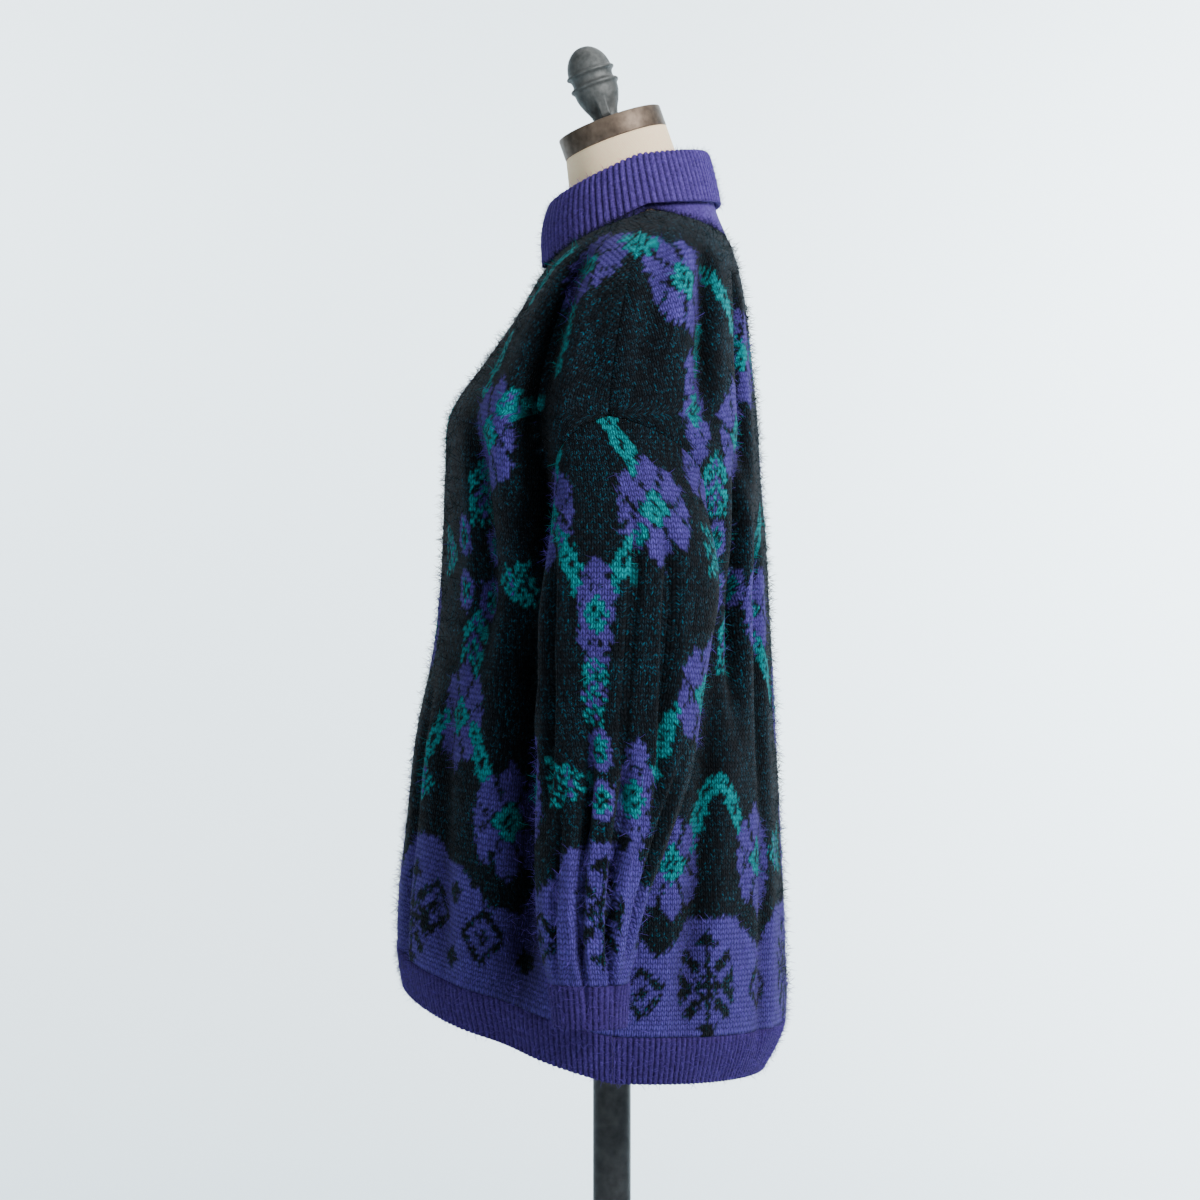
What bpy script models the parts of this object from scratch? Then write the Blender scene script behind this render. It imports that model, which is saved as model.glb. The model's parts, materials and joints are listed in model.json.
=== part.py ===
"""A loose mohair turtleneck sweater worn on a limbless dress form with a plain round stand.

Metres, +Z up, the floor at z = 0. The wearer faces -Y and the wearer's left is +X. Every cloth piece is a
wall between an outer surface and an inner one, both worked out from rings: a ring is one closed level line
of the garment, and its row in a table gives its heights, its half width and its depths. Folds are rows of a
second table, and each pushes the rings in (or out) along a line that runs up the cloth.
"""

from math import cos, pi, radians, sin, tau
from typing import NamedTuple

import bpy
import numpy as np

# Cloth.
WALL = 0.003
SEAM_GAP = 0.0004
RIB_RELIEF = 0.0011
HEM_RIBS = 196
CUFF_RIBS = 40
COLLAR_RIBS = 70
POINTS_PER_RIB = 2
FINE_PER_COARSE = 4

# The form inside the cloth, and what it stands on.
NECK_TILT = radians(19.5)
CAP_RADIUS = 0.0493
CAP_HEIGHT = 0.0195
CAP_CENTRE = (0.0, 0.0040, 1.4560)
CAP_EDGE = 0.0012
FINIAL_FOOT_Y = -0.0035
POLE_RADIUS = 0.0175
TOUCH_GAP = 0.0003

# How a ring's height moves from its front or back to its sides.
HEIGHT_BLEND = 1.1
# The share of a fold's length over which it fades in, and out again.
FOLD_FADE = 0.3
# A crease narrows to nothing at the very front and back, by this power of how far aside it is.
FOLD_TAPER = 0.25
# The step used to measure a surface's slope, in stations and in radians.
SLOPE_STEP = 0.01


class Ring(NamedTuple):
    """One level line: heights at front, side and back, half width, depths, and how square it is."""

    z_front: float
    z_side: float
    z_back: float
    half_width: float
    y_front: float
    y_side: float
    y_back: float
    squareness: float


class Fold(NamedTuple):
    """One crease: the angles from the front at its two ends, its stations, its width and its depth."""

    low_angle: float
    high_angle: float
    low_station: float
    high_station: float
    width: float
    depth: float


# Stations 0 to 15 of the body, from the edge of the hem rib up to the neckline.
BODY = [
    Ring(0.685, 0.619, 0.611, 0.192, -0.192, 0.000, 0.140, 2.3),
    Ring(0.723, 0.661, 0.654, 0.204, -0.197, 0.000, 0.159, 2.3),
    Ring(0.777, 0.728, 0.722, 0.206, -0.195, 0.000, 0.159, 2.3),
    Ring(0.838, 0.802, 0.797, 0.206, -0.188, 0.000, 0.156, 2.3),
    Ring(0.912, 0.882, 0.878, 0.204, -0.180, 0.000, 0.152, 2.3),
    Ring(0.985, 0.962, 0.960, 0.201, -0.165, 0.001, 0.148, 2.3),
    Ring(1.045, 1.035, 1.035, 0.199, -0.158, 0.004, 0.144, 2.3),
    Ring(1.100, 1.090, 1.090, 0.219, -0.155, 0.005, 0.141, 2.3),
    Ring(1.152, 1.142, 1.148, 0.238, -0.153, 0.001, 0.136, 2.3),
    Ring(1.205, 1.190, 1.200, 0.249, -0.148, -0.004, 0.133, 2.3),
    Ring(1.250, 1.250, 1.252, 0.246, -0.117, 0.002, 0.128, 2.2),
    Ring(1.284, 1.304, 1.290, 0.234, -0.090, 0.012, 0.124, 2.2),
    Ring(1.308, 1.344, 1.320, 0.209, -0.074, 0.022, 0.119, 2.2),
    Ring(1.323, 1.366, 1.342, 0.168, -0.066, 0.029, 0.114, 2.2),
    Ring(1.333, 1.380, 1.357, 0.120, -0.062, 0.033, 0.110, 2.2),
    Ring(1.341, 1.386, 1.368, 0.080, -0.0585, 0.034, 0.106, 2.1),
]
# The hem rib is the lowest station, about this high, and its middle row lies below its half height.
HEM_RIB_HEIGHT = 0.040
HEM_RIB_MIDDLE = 0.45
PANEL_FOOT = 1.0
UNDERARM = 6.1
SLEEVE_TOP = 9.0
NECKLINE = 15.0
ARMHOLE_FRONT = radians(14.0)
ARMHOLE_BACK = radians(21.0)
# 0.5 would make the armhole an ellipse, and more than that points its top and bottom.
ARMHOLE_ROUNDNESS = 0.75

# Creases of the body on the wearer's left and right. A negative depth is a ridge.
LEFT_FOLDS = [
    Fold(66, 74, 5.6, 12.6, 5.8, 0.034),
    Fold(52, 57, 4.6, 9.4, 5.5, 0.013),
    Fold(20, 27, 0.6, 5.4, 9.0, -0.006),
    Fold(50, 44, 0.4, 5.2, 8.0, 0.007),
    Fold(112, 108, 8.6, 12.4, 4.5, 0.013),
    Fold(131, 128, 7.4, 12.2, 5.0, 0.010),
    Fold(125, 125, 4.6, 8.9, 5.0, 0.017),
    Fold(148, 152, 0.6, 5.6, 8.0, -0.005),
    Fold(126, 132, 0.4, 4.6, 7.0, 0.006),
]
RIGHT_FOLDS = [
    Fold(67, 73, 5.4, 12.4, 6.2, 0.031),
    Fold(50, 54, 4.9, 9.0, 6.0, 0.011),
    Fold(32, 24, 0.5, 5.0, 9.0, -0.007),
    Fold(56, 48, 0.4, 4.8, 7.0, 0.008),
    Fold(113, 110, 8.4, 12.1, 5.0, 0.012),
    Fold(134, 129, 7.0, 11.8, 5.5, 0.011),
    Fold(127, 124, 4.9, 8.6, 5.5, 0.015),
    Fold(154, 146, 0.6, 5.2, 8.0, -0.006),
    Fold(122, 130, 0.4, 4.9, 7.5, 0.005),
]


class Tube(NamedTuple):
    """One ring of a sleeve: its middle height, its tilt, its middle and its half sizes."""

    z_middle: float
    z_tilt: float
    x_middle: float
    y_middle: float
    half_x: float
    half_y: float


# Stations 0 to 9 of a sleeve, from the armhole down to the edge of the cuff, for the wearer's left.
SLEEVE = [
    Tube(1.1175, 0.0725, 0.2280, 0.0200, 0.0230, 0.0780),
    Tube(1.0650, 0.0580, 0.2400, 0.0180, 0.0345, 0.0790),
    Tube(1.0100, 0.0350, 0.2450, 0.0110, 0.0380, 0.0740),
    Tube(0.9500, 0.0150, 0.2460, 0.0060, 0.0375, 0.0695),
    Tube(0.8900, 0.0040, 0.2465, 0.0010, 0.0370, 0.0655),
    Tube(0.8300, 0.0000, 0.2470, -0.0100, 0.0355, 0.0560),
    Tube(0.7850, 0.0000, 0.2470, -0.0180, 0.0335, 0.0475),
    Tube(0.7450, 0.0000, 0.2470, -0.0215, 0.0315, 0.0410),
    Tube(0.7130, 0.0000, 0.2470, -0.0205, 0.0280, 0.0345),
    Tube(0.6760, 0.0000, 0.2460, -0.0195, 0.0270, 0.0310),
]
CUFF_TOP = 8.0
CUFF_MIDDLE = 8.5
CUFF_EDGE = 9.0
CUFF_HEIGHT = 0.037
# A sleeve's rows, closer together near the armhole: first, last and how many.
SLEEVE_UPPER_ROWS = (0.0, 2.8, 8)
SLEEVE_LOWER_ROWS = (3.4, 7.4, 6)
# The sleeve leaves the armhole's own line over this many stations, going down this far in each.
ARMHOLE_BLEND = 2.0
ARMHOLE_DROP = 0.050
# The sleeve's end is this much smaller than the armhole, which parts them by the seam's gap.
ARMHOLE_TRIM = 0.994

# Creases of a sleeve: angle 0 is its outer side, 90 its front and 270 its back.
LEFT_SLEEVE_FOLDS = [
    Fold(26, 22, 3.6, 8.6, 9.0, 0.0065),
    Fold(2, 4, 2.6, 8.4, 10.0, -0.0040),
    Fold(318, 306, 0.6, 4.6, 10.0, 0.0080),
    Fold(300, 322, 4.2, 7.6, 10.0, 0.0060),
    Fold(62, 58, 0.8, 4.4, 11.0, 0.0050),
]
RIGHT_SLEEVE_FOLDS = [
    Fold(18, 30, 3.2, 8.4, 9.0, 0.0060),
    Fold(352, 0, 2.8, 8.0, 10.0, -0.0045),
    Fold(312, 316, 0.8, 5.0, 10.0, 0.0070),
    Fold(306, 314, 4.6, 7.8, 11.0, 0.0055),
    Fold(66, 54, 0.6, 4.0, 10.0, 0.0055),
]

# Stations 0 to 7 of the collar's middle line: up from the neckline, over the fold and down again.
COLLAR = [
    Ring(1.3416, 1.3866, 1.3686, 0.0785, -0.0573, 0.034, 0.1045, 2.1),
    Ring(1.3680, 1.4030, 1.3980, 0.0755, -0.0545, 0.031, 0.0925, 2.1),
    Ring(1.3830, 1.4200, 1.4260, 0.0730, -0.0515, 0.027, 0.0855, 2.1),
    Ring(1.3930, 1.4300, 1.4400, 0.0725, -0.0500, 0.025, 0.0830, 2.1),
    Ring(1.3985, 1.4345, 1.4450, 0.0755, -0.0530, 0.025, 0.0860, 2.1),
    Ring(1.3940, 1.4290, 1.4390, 0.0790, -0.0580, 0.025, 0.0895, 2.1),
    Ring(1.3700, 1.4110, 1.4190, 0.0840, -0.0632, 0.028, 0.0945, 2.1),
    Ring(1.3425, 1.3895, 1.3990, 0.0880, -0.0622, 0.032, 0.0985, 2.1),
]

# The form from its lower edge up to the shoulders.
TORSO = [
    Ring(0.690, 0.690, 0.690, 0.126, -0.092, 0.012, 0.108, 2.2),
    Ring(0.712, 0.712, 0.712, 0.139, -0.106, 0.012, 0.122, 2.2),
    Ring(0.780, 0.780, 0.780, 0.158, -0.122, 0.012, 0.133, 2.2),
    Ring(0.850, 0.850, 0.850, 0.162, -0.124, 0.012, 0.134, 2.2),
    Ring(0.930, 0.930, 0.930, 0.147, -0.110, 0.010, 0.116, 2.2),
    Ring(1.010, 1.010, 1.010, 0.130, -0.100, 0.008, 0.098, 2.2),
    Ring(1.080, 1.080, 1.080, 0.140, -0.120, 0.008, 0.098, 2.2),
    Ring(1.140, 1.140, 1.140, 0.151, -0.138, 0.006, 0.106, 2.2),
    Ring(1.200, 1.200, 1.200, 0.158, -0.143, 0.004, 0.113, 2.2),
    Ring(1.250, 1.250, 1.250, 0.164, -0.110, 0.010, 0.117, 2.2),
    Ring(1.288, 1.292, 1.288, 0.172, -0.080, 0.016, 0.116, 2.2),
]
# The shoulders follow the cloth that lies on them: stations of the body, and the gap under the cloth.
SHOULDERS = [
    (12.75, 0.0008),
    (13.50, 0.0008),
    (14.25, 0.0008),
    (15.00, 0.0030),
]

# The neck above the neckline: how far along it, and its half width and half depth.
NECK = [
    (0.20, 0.0590, 0.0620),
    (0.45, 0.0535, 0.0555),
    (0.75, 0.0505, 0.0515),
    (1.00, 0.0490, 0.0490),
]
NECK_FOOT = (0.0, 0.0270, 1.3640)

# Half a front or back panel: the share of the way from its middle to its edge.
PANEL_COLUMNS = (0.0, 0.12, 0.24, 0.36, 0.47, 0.57, 0.65, 0.71, 0.765, 0.815, 0.865, 0.92, 1.0)
LOWER_ROWS = 7
ARMHOLE_ROWS = 8
UPPER_ROWS = 8

# The finial from its crown to its foot: radius, and height above the cap.
FINIAL = [
    (0.0000, 0.0746),
    (0.0055, 0.0738),
    (0.0105, 0.0712),
    (0.0150, 0.0668),
    (0.0182, 0.0615),
    (0.0200, 0.0560),
    (0.0208, 0.0520),
    (0.0226, 0.0502),
    (0.0226, 0.0485),
    (0.0203, 0.0465),
    (0.0193, 0.0430),
    (0.0198, 0.0400),
    (0.0226, 0.0380),
    (0.0226, 0.0358),
    (0.0207, 0.0335),
    (0.0198, 0.0270),
    (0.0168, 0.0185),
    (0.0138, 0.0125),
    (0.0122, 0.0080),
    (0.0120, 0.0030),
    (0.0136, 0.0000),
]
FINIAL_SIDES = 16

# The stand's base from the socket's lip to the floor: radius and height.
BASE = [
    (0.0250, 0.0700),
    (0.0290, 0.0690),
    (0.0310, 0.0660),
    (0.0320, 0.0420),
    (0.0400, 0.0320),
    (0.0700, 0.0240),
    (0.1300, 0.0180),
    (0.1850, 0.0150),
    (0.1960, 0.0120),
    (0.2000, 0.0060),
    (0.1980, 0.0000),
]
BASE_SIDES = 32

COLOURS = {
    "mohair_ground": ((0.008, 0.016, 0.022), 0.95, 0.0),
    "mohair_purple": ((0.055, 0.060, 0.250), 0.95, 0.0),
    "linen": ((0.690, 0.590, 0.480), 0.85, 0.0),
    "brushed_bronze": ((0.250, 0.200, 0.150), 0.35, 1.0),
    "cast_iron": ((0.130, 0.150, 0.165), 0.60, 0.6),
    "dark_iron": ((0.035, 0.036, 0.038), 0.55, 0.7),
}


def clear_scene():
    """Empties the scene that the script starts in."""
    for item in list(bpy.data.objects):
        bpy.data.objects.remove(item, do_unlink=True)


def new_collection(name):
    """A collection for the part, linked to the scene."""
    collection = bpy.data.collections.new(name)
    bpy.context.scene.collection.children.link(collection)
    return collection


def material(slot):
    """One Principled material for each piece, in its slot's colour, roughness and metallic value."""
    colour, roughness, metallic = COLOURS[slot]
    made = bpy.data.materials.new(slot)
    made.use_nodes = True
    shader = made.node_tree.nodes["Principled BSDF"]
    shader.inputs["Base Color"].default_value = (*colour, 1.0)
    shader.inputs["Roughness"].default_value = roughness
    shader.inputs["Metallic"].default_value = metallic
    return made


def add_piece(name, mesh, slot, collection, sharp_angle=50.0):
    """An object with a smooth-shaded mesh, its edges sharp past an angle in degrees."""
    piece = bpy.data.objects.new(name, mesh)
    mesh.materials.append(material(slot))
    mesh.shade_smooth()
    mesh.set_sharp_from_angle(angle=radians(sharp_angle))
    collection.objects.link(piece)
    return piece


def between_rows(rows, station):
    """The rows' values at fractional stations, on a smooth curve through every row."""
    table = np.array(rows)
    station = np.clip(np.asarray(station, float), 0.0, len(table) - 1.0)
    first = np.minimum(station.astype(int), len(table) - 2)
    part = (station - first)[..., None]
    before = table[np.maximum(first - 1, 0)]
    start = table[first]
    end = table[first + 1]
    after = table[np.minimum(first + 2, len(table) - 1)]
    leave = (end - before) / 2
    arrive = (after - start) / 2
    return (
        (2 * part**3 - 3 * part**2 + 1) * start
        + (part**3 - 2 * part**2 + part) * leave
        + (3 * part**2 - 2 * part**3) * end
        + (part**3 - part**2) * arrive
    )


def ease(share):
    """A smooth step from 0 to 1."""
    share = np.clip(share, 0, 1)
    return share * share * (3 - 2 * share)


def fold_depth(folds, station, degrees):
    """How far the creases press the surface in at a station and an angle in degrees."""
    depth = np.zeros(np.broadcast(station, degrees).shape)
    for fold in folds:
        along = (station - fold.low_station) / (fold.high_station - fold.low_station)
        middle = fold.low_angle + (fold.high_angle - fold.low_angle) * along
        aside = (degrees - middle + 180) % 360 - 180
        window = ease(along / FOLD_FADE) * ease((1 - along) / FOLD_FADE)
        depth = depth + fold.depth * window * np.exp(-((aside / fold.width) ** 2))
    return depth


def ring_point(rows, station, angle, folded):
    """Points of rings at an angle from the front, positive to the wearer's left."""
    station, angle = np.broadcast_arrays(np.asarray(station, float), np.asarray(angle, float))
    angle = (angle + pi) % tau - pi
    values = between_rows(rows, station)
    z_front, z_side, z_back, half_width, y_front, y_side, y_back, square = np.moveaxis(values, -1, 0)
    ahead = np.cos(angle)
    aside = np.sin(angle)
    front = ahead > 0
    depth = np.where(front, y_side - y_front, y_back - y_side)
    radius = (np.abs(aside / half_width) ** square + np.abs(ahead / depth) ** square) ** (-1 / square)
    if folded:
        degrees = np.degrees(np.abs(angle))
        left = fold_depth(LEFT_FOLDS, station, degrees)
        right = fold_depth(RIGHT_FOLDS, station, degrees)
        radius = radius - np.where(angle > 0, left, right) * np.abs(aside) ** FOLD_TAPER
    z_end = np.where(front, z_front, z_back)
    height = z_side + (z_end - z_side) * np.abs(ahead) ** HEIGHT_BLEND
    return np.stack([radius * aside, y_side - radius * ahead, height], axis=-1)


def body_point(station, angle):
    """The outer surface of the sweater's body, with its creases."""
    return ring_point(BODY, station, angle, folded=True)


def outward(surface, station, angle):
    """The surface's unit normal, away from the middle of the rings."""
    station, angle = np.broadcast_arrays(np.asarray(station, float), np.asarray(angle, float))
    up = surface(station + SLOPE_STEP, angle) - surface(station - SLOPE_STEP, angle)
    across = surface(station, angle + SLOPE_STEP) - surface(station, angle - SLOPE_STEP)
    normal = np.cross(across, up)
    return normal / np.linalg.norm(normal, axis=-1, keepdims=True)


def armhole_angles(station):
    """The angles where the front panel ends and the back panel starts, seen from the side."""
    share = np.clip((np.asarray(station, float) - UNDERARM) / (SLEEVE_TOP - UNDERARM), 0, 1)
    opening = np.maximum(0.0, 1 - (2 * share - 1) ** 2) ** ARMHOLE_ROUNDNESS
    return pi / 2 - ARMHOLE_FRONT * opening, pi / 2 + ARMHOLE_BACK * opening


def panel_stations():
    """The rows of a panel: even below and above the armhole, and on its round edge."""
    armhole = [(1 - cos(pi * row / ARMHOLE_ROWS)) / 2 for row in range(ARMHOLE_ROWS + 1)]
    lower = np.linspace(PANEL_FOOT, UNDERARM, LOWER_ROWS, endpoint=False)
    middle = UNDERARM + (SLEEVE_TOP - UNDERARM) * np.array(armhole)
    upper = np.linspace(SLEEVE_TOP, NECKLINE, UPPER_ROWS + 1)[1:]
    return np.concatenate([lower, middle, upper])


def panel_angles(station, back):
    """One row of a panel's angles, from the wearer's right to the left, half a seam's gap in."""
    front_edge, back_edge = armhole_angles(station)
    shares = np.array(PANEL_COLUMNS)
    trim = SEAM_GAP / 2 / between_rows(BODY, station)[3]
    edge = pi - back_edge if back else front_edge
    half = shares * pi / 2 - shares**3 * (pi / 2 - edge) - shares * trim
    if back:
        half = pi - half
        return np.concatenate([half[::-1], (tau - half)[1:]])
    return np.concatenate([-half[::-1], half[1:]])


def strip_faces(fine_start, coarse_start, coarse_count, per_coarse, fine_total, coarse_total):
    """Triangles that join a row of fine points to a row of coarse ones."""
    faces = []
    for step in range(coarse_count):
        coarse_here = coarse_start + step % coarse_total
        coarse_next = coarse_start + (step + 1) % coarse_total
        for part in range(per_coarse):
            fine_here = fine_start + (step * per_coarse + part) % fine_total
            fine_next = fine_start + (step * per_coarse + part + 1) % fine_total
            near = coarse_here if part < per_coarse / 2 else coarse_next
            faces.append((fine_here, fine_next, near))
            if part == (per_coarse - 1) // 2:
                faces.append((fine_next, coarse_next, coarse_here))
    return faces


def grid_faces(start, points, closed):
    """Triangles of a grid of points, each square cut along its shorter diagonal."""
    rows, columns = points.shape[:2]
    steps = columns if closed else columns - 1
    beside_points = np.roll(points, -1, axis=1)
    rising = np.linalg.norm(beside_points[1:] - points[:-1], axis=2)
    falling = np.linalg.norm(points[1:] - beside_points[:-1], axis=2)
    faces = []
    for row in range(rows - 1):
        for step in range(steps):
            here = start + row * columns + step
            beside = start + row * columns + (step + 1) % columns
            if rising[row, step] < falling[row, step]:
                faces.append((here, beside, beside + columns))
                faces.append((here, beside + columns, here + columns))
            else:
                faces.append((here, beside, here + columns))
                faces.append((beside, beside + columns, here + columns))
    return faces


def wall_mesh(name, outer, inner, closed):
    """A closed wall between an outer and an inner grid of points, rows running up.

    The outer grid has one or several points for each point of the inner one, and both turn to the left
    seen from outside, so that the faces point out.
    """
    rows, fine = outer.shape[:2]
    coarse = inner.shape[1]
    per_coarse = fine // coarse if closed else (fine - 1) // (coarse - 1)
    steps = coarse if closed else coarse - 1
    inner_start = rows * fine
    faces = grid_faces(0, outer, closed)
    faces += [face[::-1] for face in grid_faces(inner_start, outer[:, ::per_coarse], closed)]
    foot = strip_faces(0, inner_start, steps, per_coarse, fine, coarse)
    top_fine = (rows - 1) * fine
    top_coarse = inner_start + (rows - 1) * coarse
    top = strip_faces(top_fine, top_coarse, steps, per_coarse, fine, coarse)
    faces += [face[::-1] for face in foot]
    faces += top
    if not closed:
        for row in range(rows - 1):
            low = row * fine
            low_inner = inner_start + row * coarse
            faces.append((low, low + fine, low_inner + coarse, low_inner))
            right = low + fine - 1
            right_inner = low_inner + coarse - 1
            faces.append((right, right_inner, right_inner + coarse, right + fine))
    mesh = bpy.data.meshes.new(name)
    points = np.concatenate([outer.reshape(-1, 3), inner.reshape(-1, 3)])
    mesh.from_pydata([tuple(point) for point in points.tolist()], [], faces)
    mesh.validate()
    return mesh


def build_panel(name, back, collection):
    """The front or the back of the sweater above its hem rib."""
    stations = panel_stations()
    angles = np.array([panel_angles(station, back) for station in stations])
    grid = np.repeat(stations[:, None], angles.shape[1], axis=1)
    outer = body_point(grid, angles)
    inner = outer - WALL * outward(body_point, grid, angles)
    return add_piece(name, wall_mesh(name, outer, inner, closed=False), "mohair_ground", collection)


def rib_wave(count):
    """Heights of a row of ribs, up on one point and down on the next."""
    return np.where(np.arange(count) % POINTS_PER_RIB == 0, 1.0, -1.0) * RIB_RELIEF / 2


def build_hem_rib(name, middle_angle, collection):
    """Half of the ribbed band round the hem."""
    fine = HEM_RIBS * POINTS_PER_RIB // 2 + 1
    trim = SEAM_GAP / 2 / BODY[0].half_width
    angles = middle_angle + np.linspace(-pi / 2 + trim, pi / 2 - trim, fine)
    stations = np.array([0.0, HEM_RIB_MIDDLE, PANEL_FOOT - SEAM_GAP / HEM_RIB_HEIGHT])
    grid, turned = np.meshgrid(stations, angles, indexing="ij")
    outer = body_point(grid, turned)
    outer = outer + rib_wave(fine)[None, :, None] * outward(body_point, grid, turned)
    grid, turned = np.meshgrid(stations, angles[::FINE_PER_COARSE], indexing="ij")
    inner = body_point(grid, turned) - WALL * outward(body_point, grid, turned)
    return add_piece(name, wall_mesh(name, outer, inner, closed=False), "mohair_purple", collection)


def armhole_point(turn, side):
    """The line that both panels leave open, a seam's gap inside it, as seen on the wearer's left."""
    share = (1 + np.cos(turn) * ARMHOLE_TRIM) / 2
    station = UNDERARM + (SLEEVE_TOP - UNDERARM) * share
    ahead = np.sin(turn)
    opening = np.abs(ahead) ** (2 * ARMHOLE_ROUNDNESS) * ARMHOLE_TRIM
    aside = np.where(ahead > 0, -ARMHOLE_FRONT, ARMHOLE_BACK) * opening
    return body_point(station, side * (pi / 2 + aside)) * np.array([side, 1.0, 1.0])


def sleeve_surface(side):
    """The left sleeve's surface, or its mirror image with the right one's creases."""
    folds = LEFT_SLEEVE_FOLDS if side > 0 else RIGHT_SLEEVE_FOLDS

    def point(station, turn):
        station, turn = np.broadcast_arrays(np.asarray(station, float), np.asarray(turn, float))
        values = between_rows(SLEEVE, station)
        z_middle, z_tilt, x_middle, y_middle, half_x, half_y = np.moveaxis(values, -1, 0)
        pressed = fold_depth(folds, station, np.degrees(turn) % 360)
        shrink = 1 - pressed / np.hypot(half_x * np.cos(turn), half_y * np.sin(turn))
        tube = np.stack(
            [
                x_middle + half_x * np.cos(turn) * shrink,
                y_middle - half_y * np.sin(turn) * shrink,
                z_middle + z_tilt * np.cos(turn),
            ],
            axis=-1,
        )
        share = ease(station / ARMHOLE_BLEND)[..., None]
        armhole = armhole_point(turn, side)
        armhole = armhole - np.array([0.0, 0.0, ARMHOLE_DROP]) * station[..., None]
        placed = armhole * (1 - share) + tube * share
        return placed * np.array([side, 1.0, 1.0])

    return point


def build_sleeve(side, name, collection):
    """One sleeve from its armhole seam down to its cuff."""
    surface = sleeve_surface(side)
    turns = np.arange(2 * ARMHOLE_ROWS) * pi / ARMHOLE_ROWS
    upper = np.linspace(*SLEEVE_UPPER_ROWS)
    lower = np.linspace(*SLEEVE_LOWER_ROWS)
    stations = np.concatenate([upper, lower, [CUFF_TOP]])
    grid, turned = np.meshgrid(stations[::-1], turns * -side, indexing="ij")
    outer = surface(grid, turned)
    inner = outer - side * WALL * outward(surface, grid, turned)
    return add_piece(name, wall_mesh(name, outer, inner, closed=True), "mohair_ground", collection)


def build_cuff(side, name, collection):
    """The ribbed band at a sleeve's end."""
    surface = sleeve_surface(side)
    fine = CUFF_RIBS * POINTS_PER_RIB
    turns = -side * np.arange(fine) * tau / fine
    stations = np.array([CUFF_EDGE, CUFF_MIDDLE, CUFF_TOP + SEAM_GAP / CUFF_HEIGHT])
    grid, turned = np.meshgrid(stations, turns, indexing="ij")
    outer = surface(grid, turned)
    outer = outer + side * rib_wave(fine)[None, :, None] * outward(surface, grid, turned)
    grid, turned = np.meshgrid(stations, turns[::FINE_PER_COARSE], indexing="ij")
    inner = surface(grid, turned) - side * WALL * outward(surface, grid, turned)
    return add_piece(name, wall_mesh(name, outer, inner, closed=True), "mohair_purple", collection)


def collar_point(station, angle):
    """The middle of the collar's cloth."""
    return ring_point(COLLAR, station, angle, folded=False)


def build_collar(collection):
    """The ribbed tube that stands up from the neckline and is turned down over itself."""
    fine = COLLAR_RIBS * POINTS_PER_RIB
    angles = np.arange(fine) * tau / fine
    stations = np.arange(len(COLLAR), dtype=float)
    grid, turned = np.meshgrid(stations, -angles, indexing="ij")
    ribbed = collar_point(grid, turned)
    ribbed = ribbed - (WALL / 2 + rib_wave(fine))[None, :, None] * outward(collar_point, grid, turned)
    grid, turned = np.meshgrid(stations, -angles[::FINE_PER_COARSE], indexing="ij")
    plain = collar_point(grid, turned) + WALL / 2 * outward(collar_point, grid, turned)
    mesh = wall_mesh("collar", ribbed, plain, closed=True)
    return add_piece("collar", mesh, "mohair_purple", collection)


def neck_ring(share, half_width, half_depth, angles):
    """A ring of the form's neck, tilted a little more the higher it is."""
    foot = np.array(NECK_FOOT)
    top = np.array(CAP_CENTRE)
    tilt = NECK_TILT * share
    centre = foot + (top - foot) * share
    across = half_width * np.sin(angles)
    along = half_depth * -np.cos(angles)
    return centre + np.stack([across, along * cos(tilt), along * sin(tilt)], axis=-1)


def build_torso(collection):
    """The form: one closed solid from its lower edge to the neck, smooth and clear of the cloth."""
    half = np.array(PANEL_COLUMNS) * pi / 2
    quarter = pi - half
    angles = np.concatenate([-half[::-1], half[1:], quarter[::-1][1:], (tau - quarter)[1:-1]])
    rings = [ring_point(TORSO, station, angles, folded=False) for station in range(len(TORSO))]
    for station, gap in SHOULDERS:
        ring = ring_point(BODY, station, angles, folded=False)
        rings.append(ring - (WALL + gap) * outward(body_point, station, angles))
    rings += [neck_ring(*row, angles) for row in NECK]
    points = np.array(rings)
    rows, columns = points.shape[:2]
    faces = grid_faces(0, points, closed=True)
    faces.append(tuple(range(columns))[::-1])
    faces.append(tuple((rows - 1) * columns + step for step in range(columns)))
    mesh = bpy.data.meshes.new("torso")
    mesh.from_pydata([tuple(point) for point in points.reshape(-1, 3).tolist()], [], faces)
    return add_piece("torso", mesh, "linen", collection, sharp_angle=60.0)


def turned_piece(name, profile, sides, slot, collection):
    """A solid of revolution about Z from a profile that runs from its top down its outer side."""
    mesh = bpy.data.meshes.new(name)
    points = [(radius, 0.0, height) for radius, height in profile]
    mesh.from_pydata(points, [(step, step + 1) for step in range(len(points) - 1)], [])
    piece = bpy.data.objects.new(name, mesh)
    collection.objects.link(piece)
    mesh.materials.append(material(slot))
    screw = piece.modifiers.new("turned", "SCREW")
    screw.steps = sides
    screw.render_steps = sides
    screw.use_merge_vertices = True
    screw.merge_threshold = 0.0001
    screw.use_smooth_shade = True
    return piece


def build_cap(collection):
    """The metal disc that closes the form's neck."""
    bpy.ops.mesh.primitive_cylinder_add(vertices=32, radius=CAP_RADIUS, depth=CAP_HEIGHT)
    cap = bpy.context.object
    cap.name = "neck_cap"
    cap.data.name = "neck_cap"
    cap.users_collection[0].objects.unlink(cap)
    collection.objects.link(cap)
    cap.data.materials.append(material("brushed_bronze"))
    bevel = cap.modifiers.new("edge", "BEVEL")
    bevel.width = CAP_EDGE
    bevel.segments = 1
    bevel.limit_method = "ANGLE"
    return cap


def build_finial(collection):
    """The cast knob on the neck cap."""
    profile = [*FINIAL, (0.0, 0.0)]
    return turned_piece("finial", profile, FINIAL_SIDES, "cast_iron", collection)


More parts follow.
